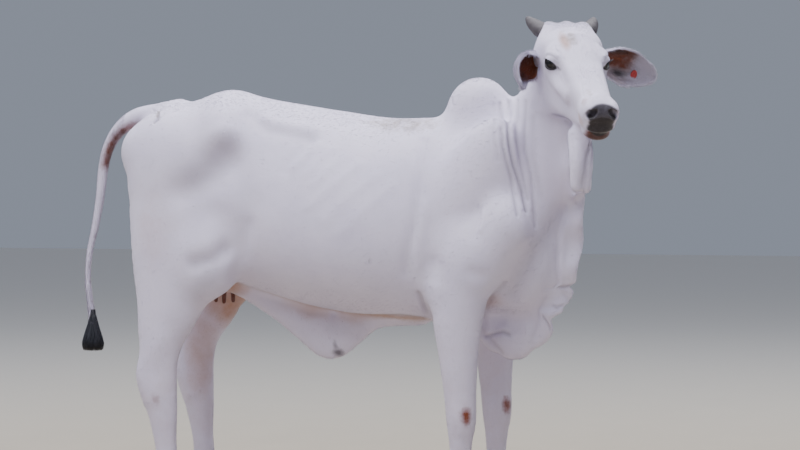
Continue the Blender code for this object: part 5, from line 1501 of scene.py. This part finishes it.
def buildTufts():  # the skin's tufts in five regions, more of them where the skin turns up or to the ends
    rng = np.random.default_rng(tuftLook["seed"])
    unwrapped(skin)
    host = cornersOf(skin)
    centre, normal = host["points"].mean(axis=1), unit(host["normals"].mean(axis=1))
    q = inHead(centre)
    bare = 1 - ramp(host["marks"].mean(axis=1)[:, 0], 0.25, 0.6)
    onHead = (q[:, 0] > -0.045) & (np.abs(q[:, 1]) < 0.125) & (q[:, 2] > -0.235) & (centre[:, 2] > 1.18)
    onTail = (centre[:, 0] < -0.735)
    onLegs = (centre[:, 2] < 0.72) & (np.abs(centre[:, 1]) > 0.085)
    onFront = (centre[:, 0] > 0.36) & ~onLegs & ~onHead
    regions = {"head": onHead, "tail": onTail & ~onHead, "legs": onLegs & ~onTail, "front": onFront & ~onTail,
               "trunk": ~(onHead | onTail | onLegs | onFront)}
    edge = 0.4 + 2.5 * ramp(np.abs(normal[:, 2]), 0.6, 0.95) + 2.0 * ramp(np.abs(normal[:, 0]), 0.75, 1.0)
    for name, there in regions.items():
        look = tuftLook[name]
        roots = rootsOn(host, there * edge * (bare + 0.02), look["count"], rng)
        at, lengths = inHead(roots["points"]), look["length"] * rng.uniform(0.7, 1.25, look["count"])
        if name == "head":
            lengths = lengths * (1 + 1.1 * ramp(-at[:, 0], -0.05, 0.0) + 0.6 * ramp(-at[:, 2], 0.14, 0.19)
                                 - 0.35 * ramp(at[:, 0], 0.25, 0.40))
        if name == "tail":
            lengths = lengths * (0.7 + 1.4 * ramp(-roots["points"][:, 2], -0.95, -0.72))
        sowTufts("tufts" + name.title(), roots, lengths, look["half"], look["lift"], lieOf(roots["points"]), rng)
    skin.data.uv_layers.remove(skin.data.uv_layers.active)


def buildEarTufts(side, word):  # along the ear, fewer inside it, more towards the tip
    rng = np.random.default_rng(tuftLook["earSeed"])
    look = tuftLook["ears"]
    thing = bpy.data.objects["ear" + word]
    unwrapped(thing)
    host = cornersOf(thing)
    away, bend = shares(earLook["pose"][side][0]), shares(earLook["pose"][side][1])
    inside = host["marks"].mean(axis=1)[:, 2]
    root = fromHead(np.array(earLook["root"]) * (1, side, 1))
    far = ((host["points"].mean(axis=1) - root) @ unit(away + 0.5 * bend)) / earLook["length"]
    roots = rootsOn(host, (1.15 - inside) * (0.6 + 1.6 * np.clip(far, 0, 1)), look["count"], rng)
    way = unit(away + 2 * 0.6 * bend) + 0.25 * np.array([0, 0, -1.0])
    lengths = look["length"] * rng.uniform(0.6, 1.3, look["count"])
    sowTufts("tuftsEar" + word, roots, lengths, look["half"], look["lift"], np.tile(way, (look["count"], 1)), rng)
    thing.data.uv_layers.remove(thing.data.uv_layers.active)


buildTufts()
for side, word in bothSides:
    buildEarTufts(side, word)


# floor, light and camera

viewLook = {"azimuth": 20.0, "elevation": 1.1, "distance": 9.0, "frameWidth": 2.516, "aimAlong": 0.1855,
            "aimHeight": 0.9937, "sensor": 36}
stageLook = {
    "floorSize": 60, "earth": ((0.36, 0.305, 0.235, 1), (0.42, 0.36, 0.285, 1)), "pale": (0.95, 0.90, 0.83, 1),
    "paleFrom": 0.5, "paleAt": 11.0, "sky": (0.50, 0.555, 0.68, 1), "skyStrength": 0.50,
    "lamps": (("key", (-1.2, -2.6, 6.6), 6.0, 650), ("sky", (0.8, 1.6, 6.8), 6.0, 560),
              ("fill", (4.0, -5.5, 2.4), 4.0, 20)), "lampTone": (0.96, 0.975, 1.0), "lampAim": (0, 0, 0.9),
}


def floorMaterial():  # earth by noise near the animal, painted paler further off, where the lamps' light falls off
    finish, tree, shader, where = newMaterial("floor", Specular_IOR_Level=0.3)
    dust = noise(tree, where, 3.0, 6.0, 0.65)
    far = node(tree, "ShaderNodeVectorMath", {0: where}, operation="LENGTH").outputs["Value"]
    near, away = stageLook["paleFrom"], stageLook["paleAt"]
    far = node(tree, "ShaderNodeMapRange", {"Value": far, "From Min": near, "From Max": away},
               interpolation_type="SMOOTHSTEP").outputs["Result"]
    tone = turnTo(tree, far, turnTo(tree, dust, *stageLook["earth"]), stageLook["pale"])
    feed(tree, shader, tone, plus(tree, times(tree, dust, 0.2), 0.7))
    bump(tree, shader, noise(tree, where, 90.0, 5.0), 0.3, 0.004)
    return finish


def buildStage():  # floor, sky and lamps
    bpy.ops.mesh.primitive_plane_add(size=stageLook["floorSize"], location=(0, 0, 0))
    floor = bpy.context.object
    floor.name = "floor"
    floor.data.materials.append(floorMaterial())
    world = bpy.data.worlds.new("studio")
    world.use_nodes = True
    glow = world.node_tree.nodes["Background"].inputs
    glow["Color"].default_value = stageLook["sky"]
    glow["Strength"].default_value = stageLook["skyStrength"]
    bpy.context.scene.world = world
    for name, at, size, power in stageLook["lamps"]:
        lamp = bpy.data.lights.new(name, "AREA")
        lamp.size = size
        lamp.energy = power
        lamp.color = stageLook["lampTone"]
        bulb = bpy.data.objects.new(name, lamp)
        bulb.location = at
        bulb.rotation_euler = (Vector(stageLook["lampAim"]) - Vector(at)).to_track_quat("-Z", "Y").to_euler()
        bpy.context.scene.collection.objects.link(bulb)


def buildCamera():
    # on a circle round the aim, turned by azimuth and elevation; its lens sets the frame's width
    turn, rise = math.radians(viewLook["azimuth"]), math.radians(viewLook["elevation"])
    right = Vector((math.cos(turn), math.sin(turn), 0))
    back = Vector((math.sin(turn) * math.cos(rise), -math.cos(turn) * math.cos(rise), math.sin(rise)))
    aim = right * viewLook["aimAlong"] + Vector((0, 0, viewLook["aimHeight"])) + Vector(standAt)
    lens = bpy.data.cameras.new("camera")
    lens.sensor_width = viewLook["sensor"]
    lens.lens = viewLook["sensor"] * viewLook["distance"] / viewLook["frameWidth"]
    camera = bpy.data.objects.new("camera", lens)
    camera.location = aim + back * viewLook["distance"]
    camera.rotation_euler = (-back).to_track_quat("-Z", "Y").to_euler()
    bpy.context.scene.collection.objects.link(camera)
    bpy.context.scene.camera = camera


buildStage()
buildCamera()
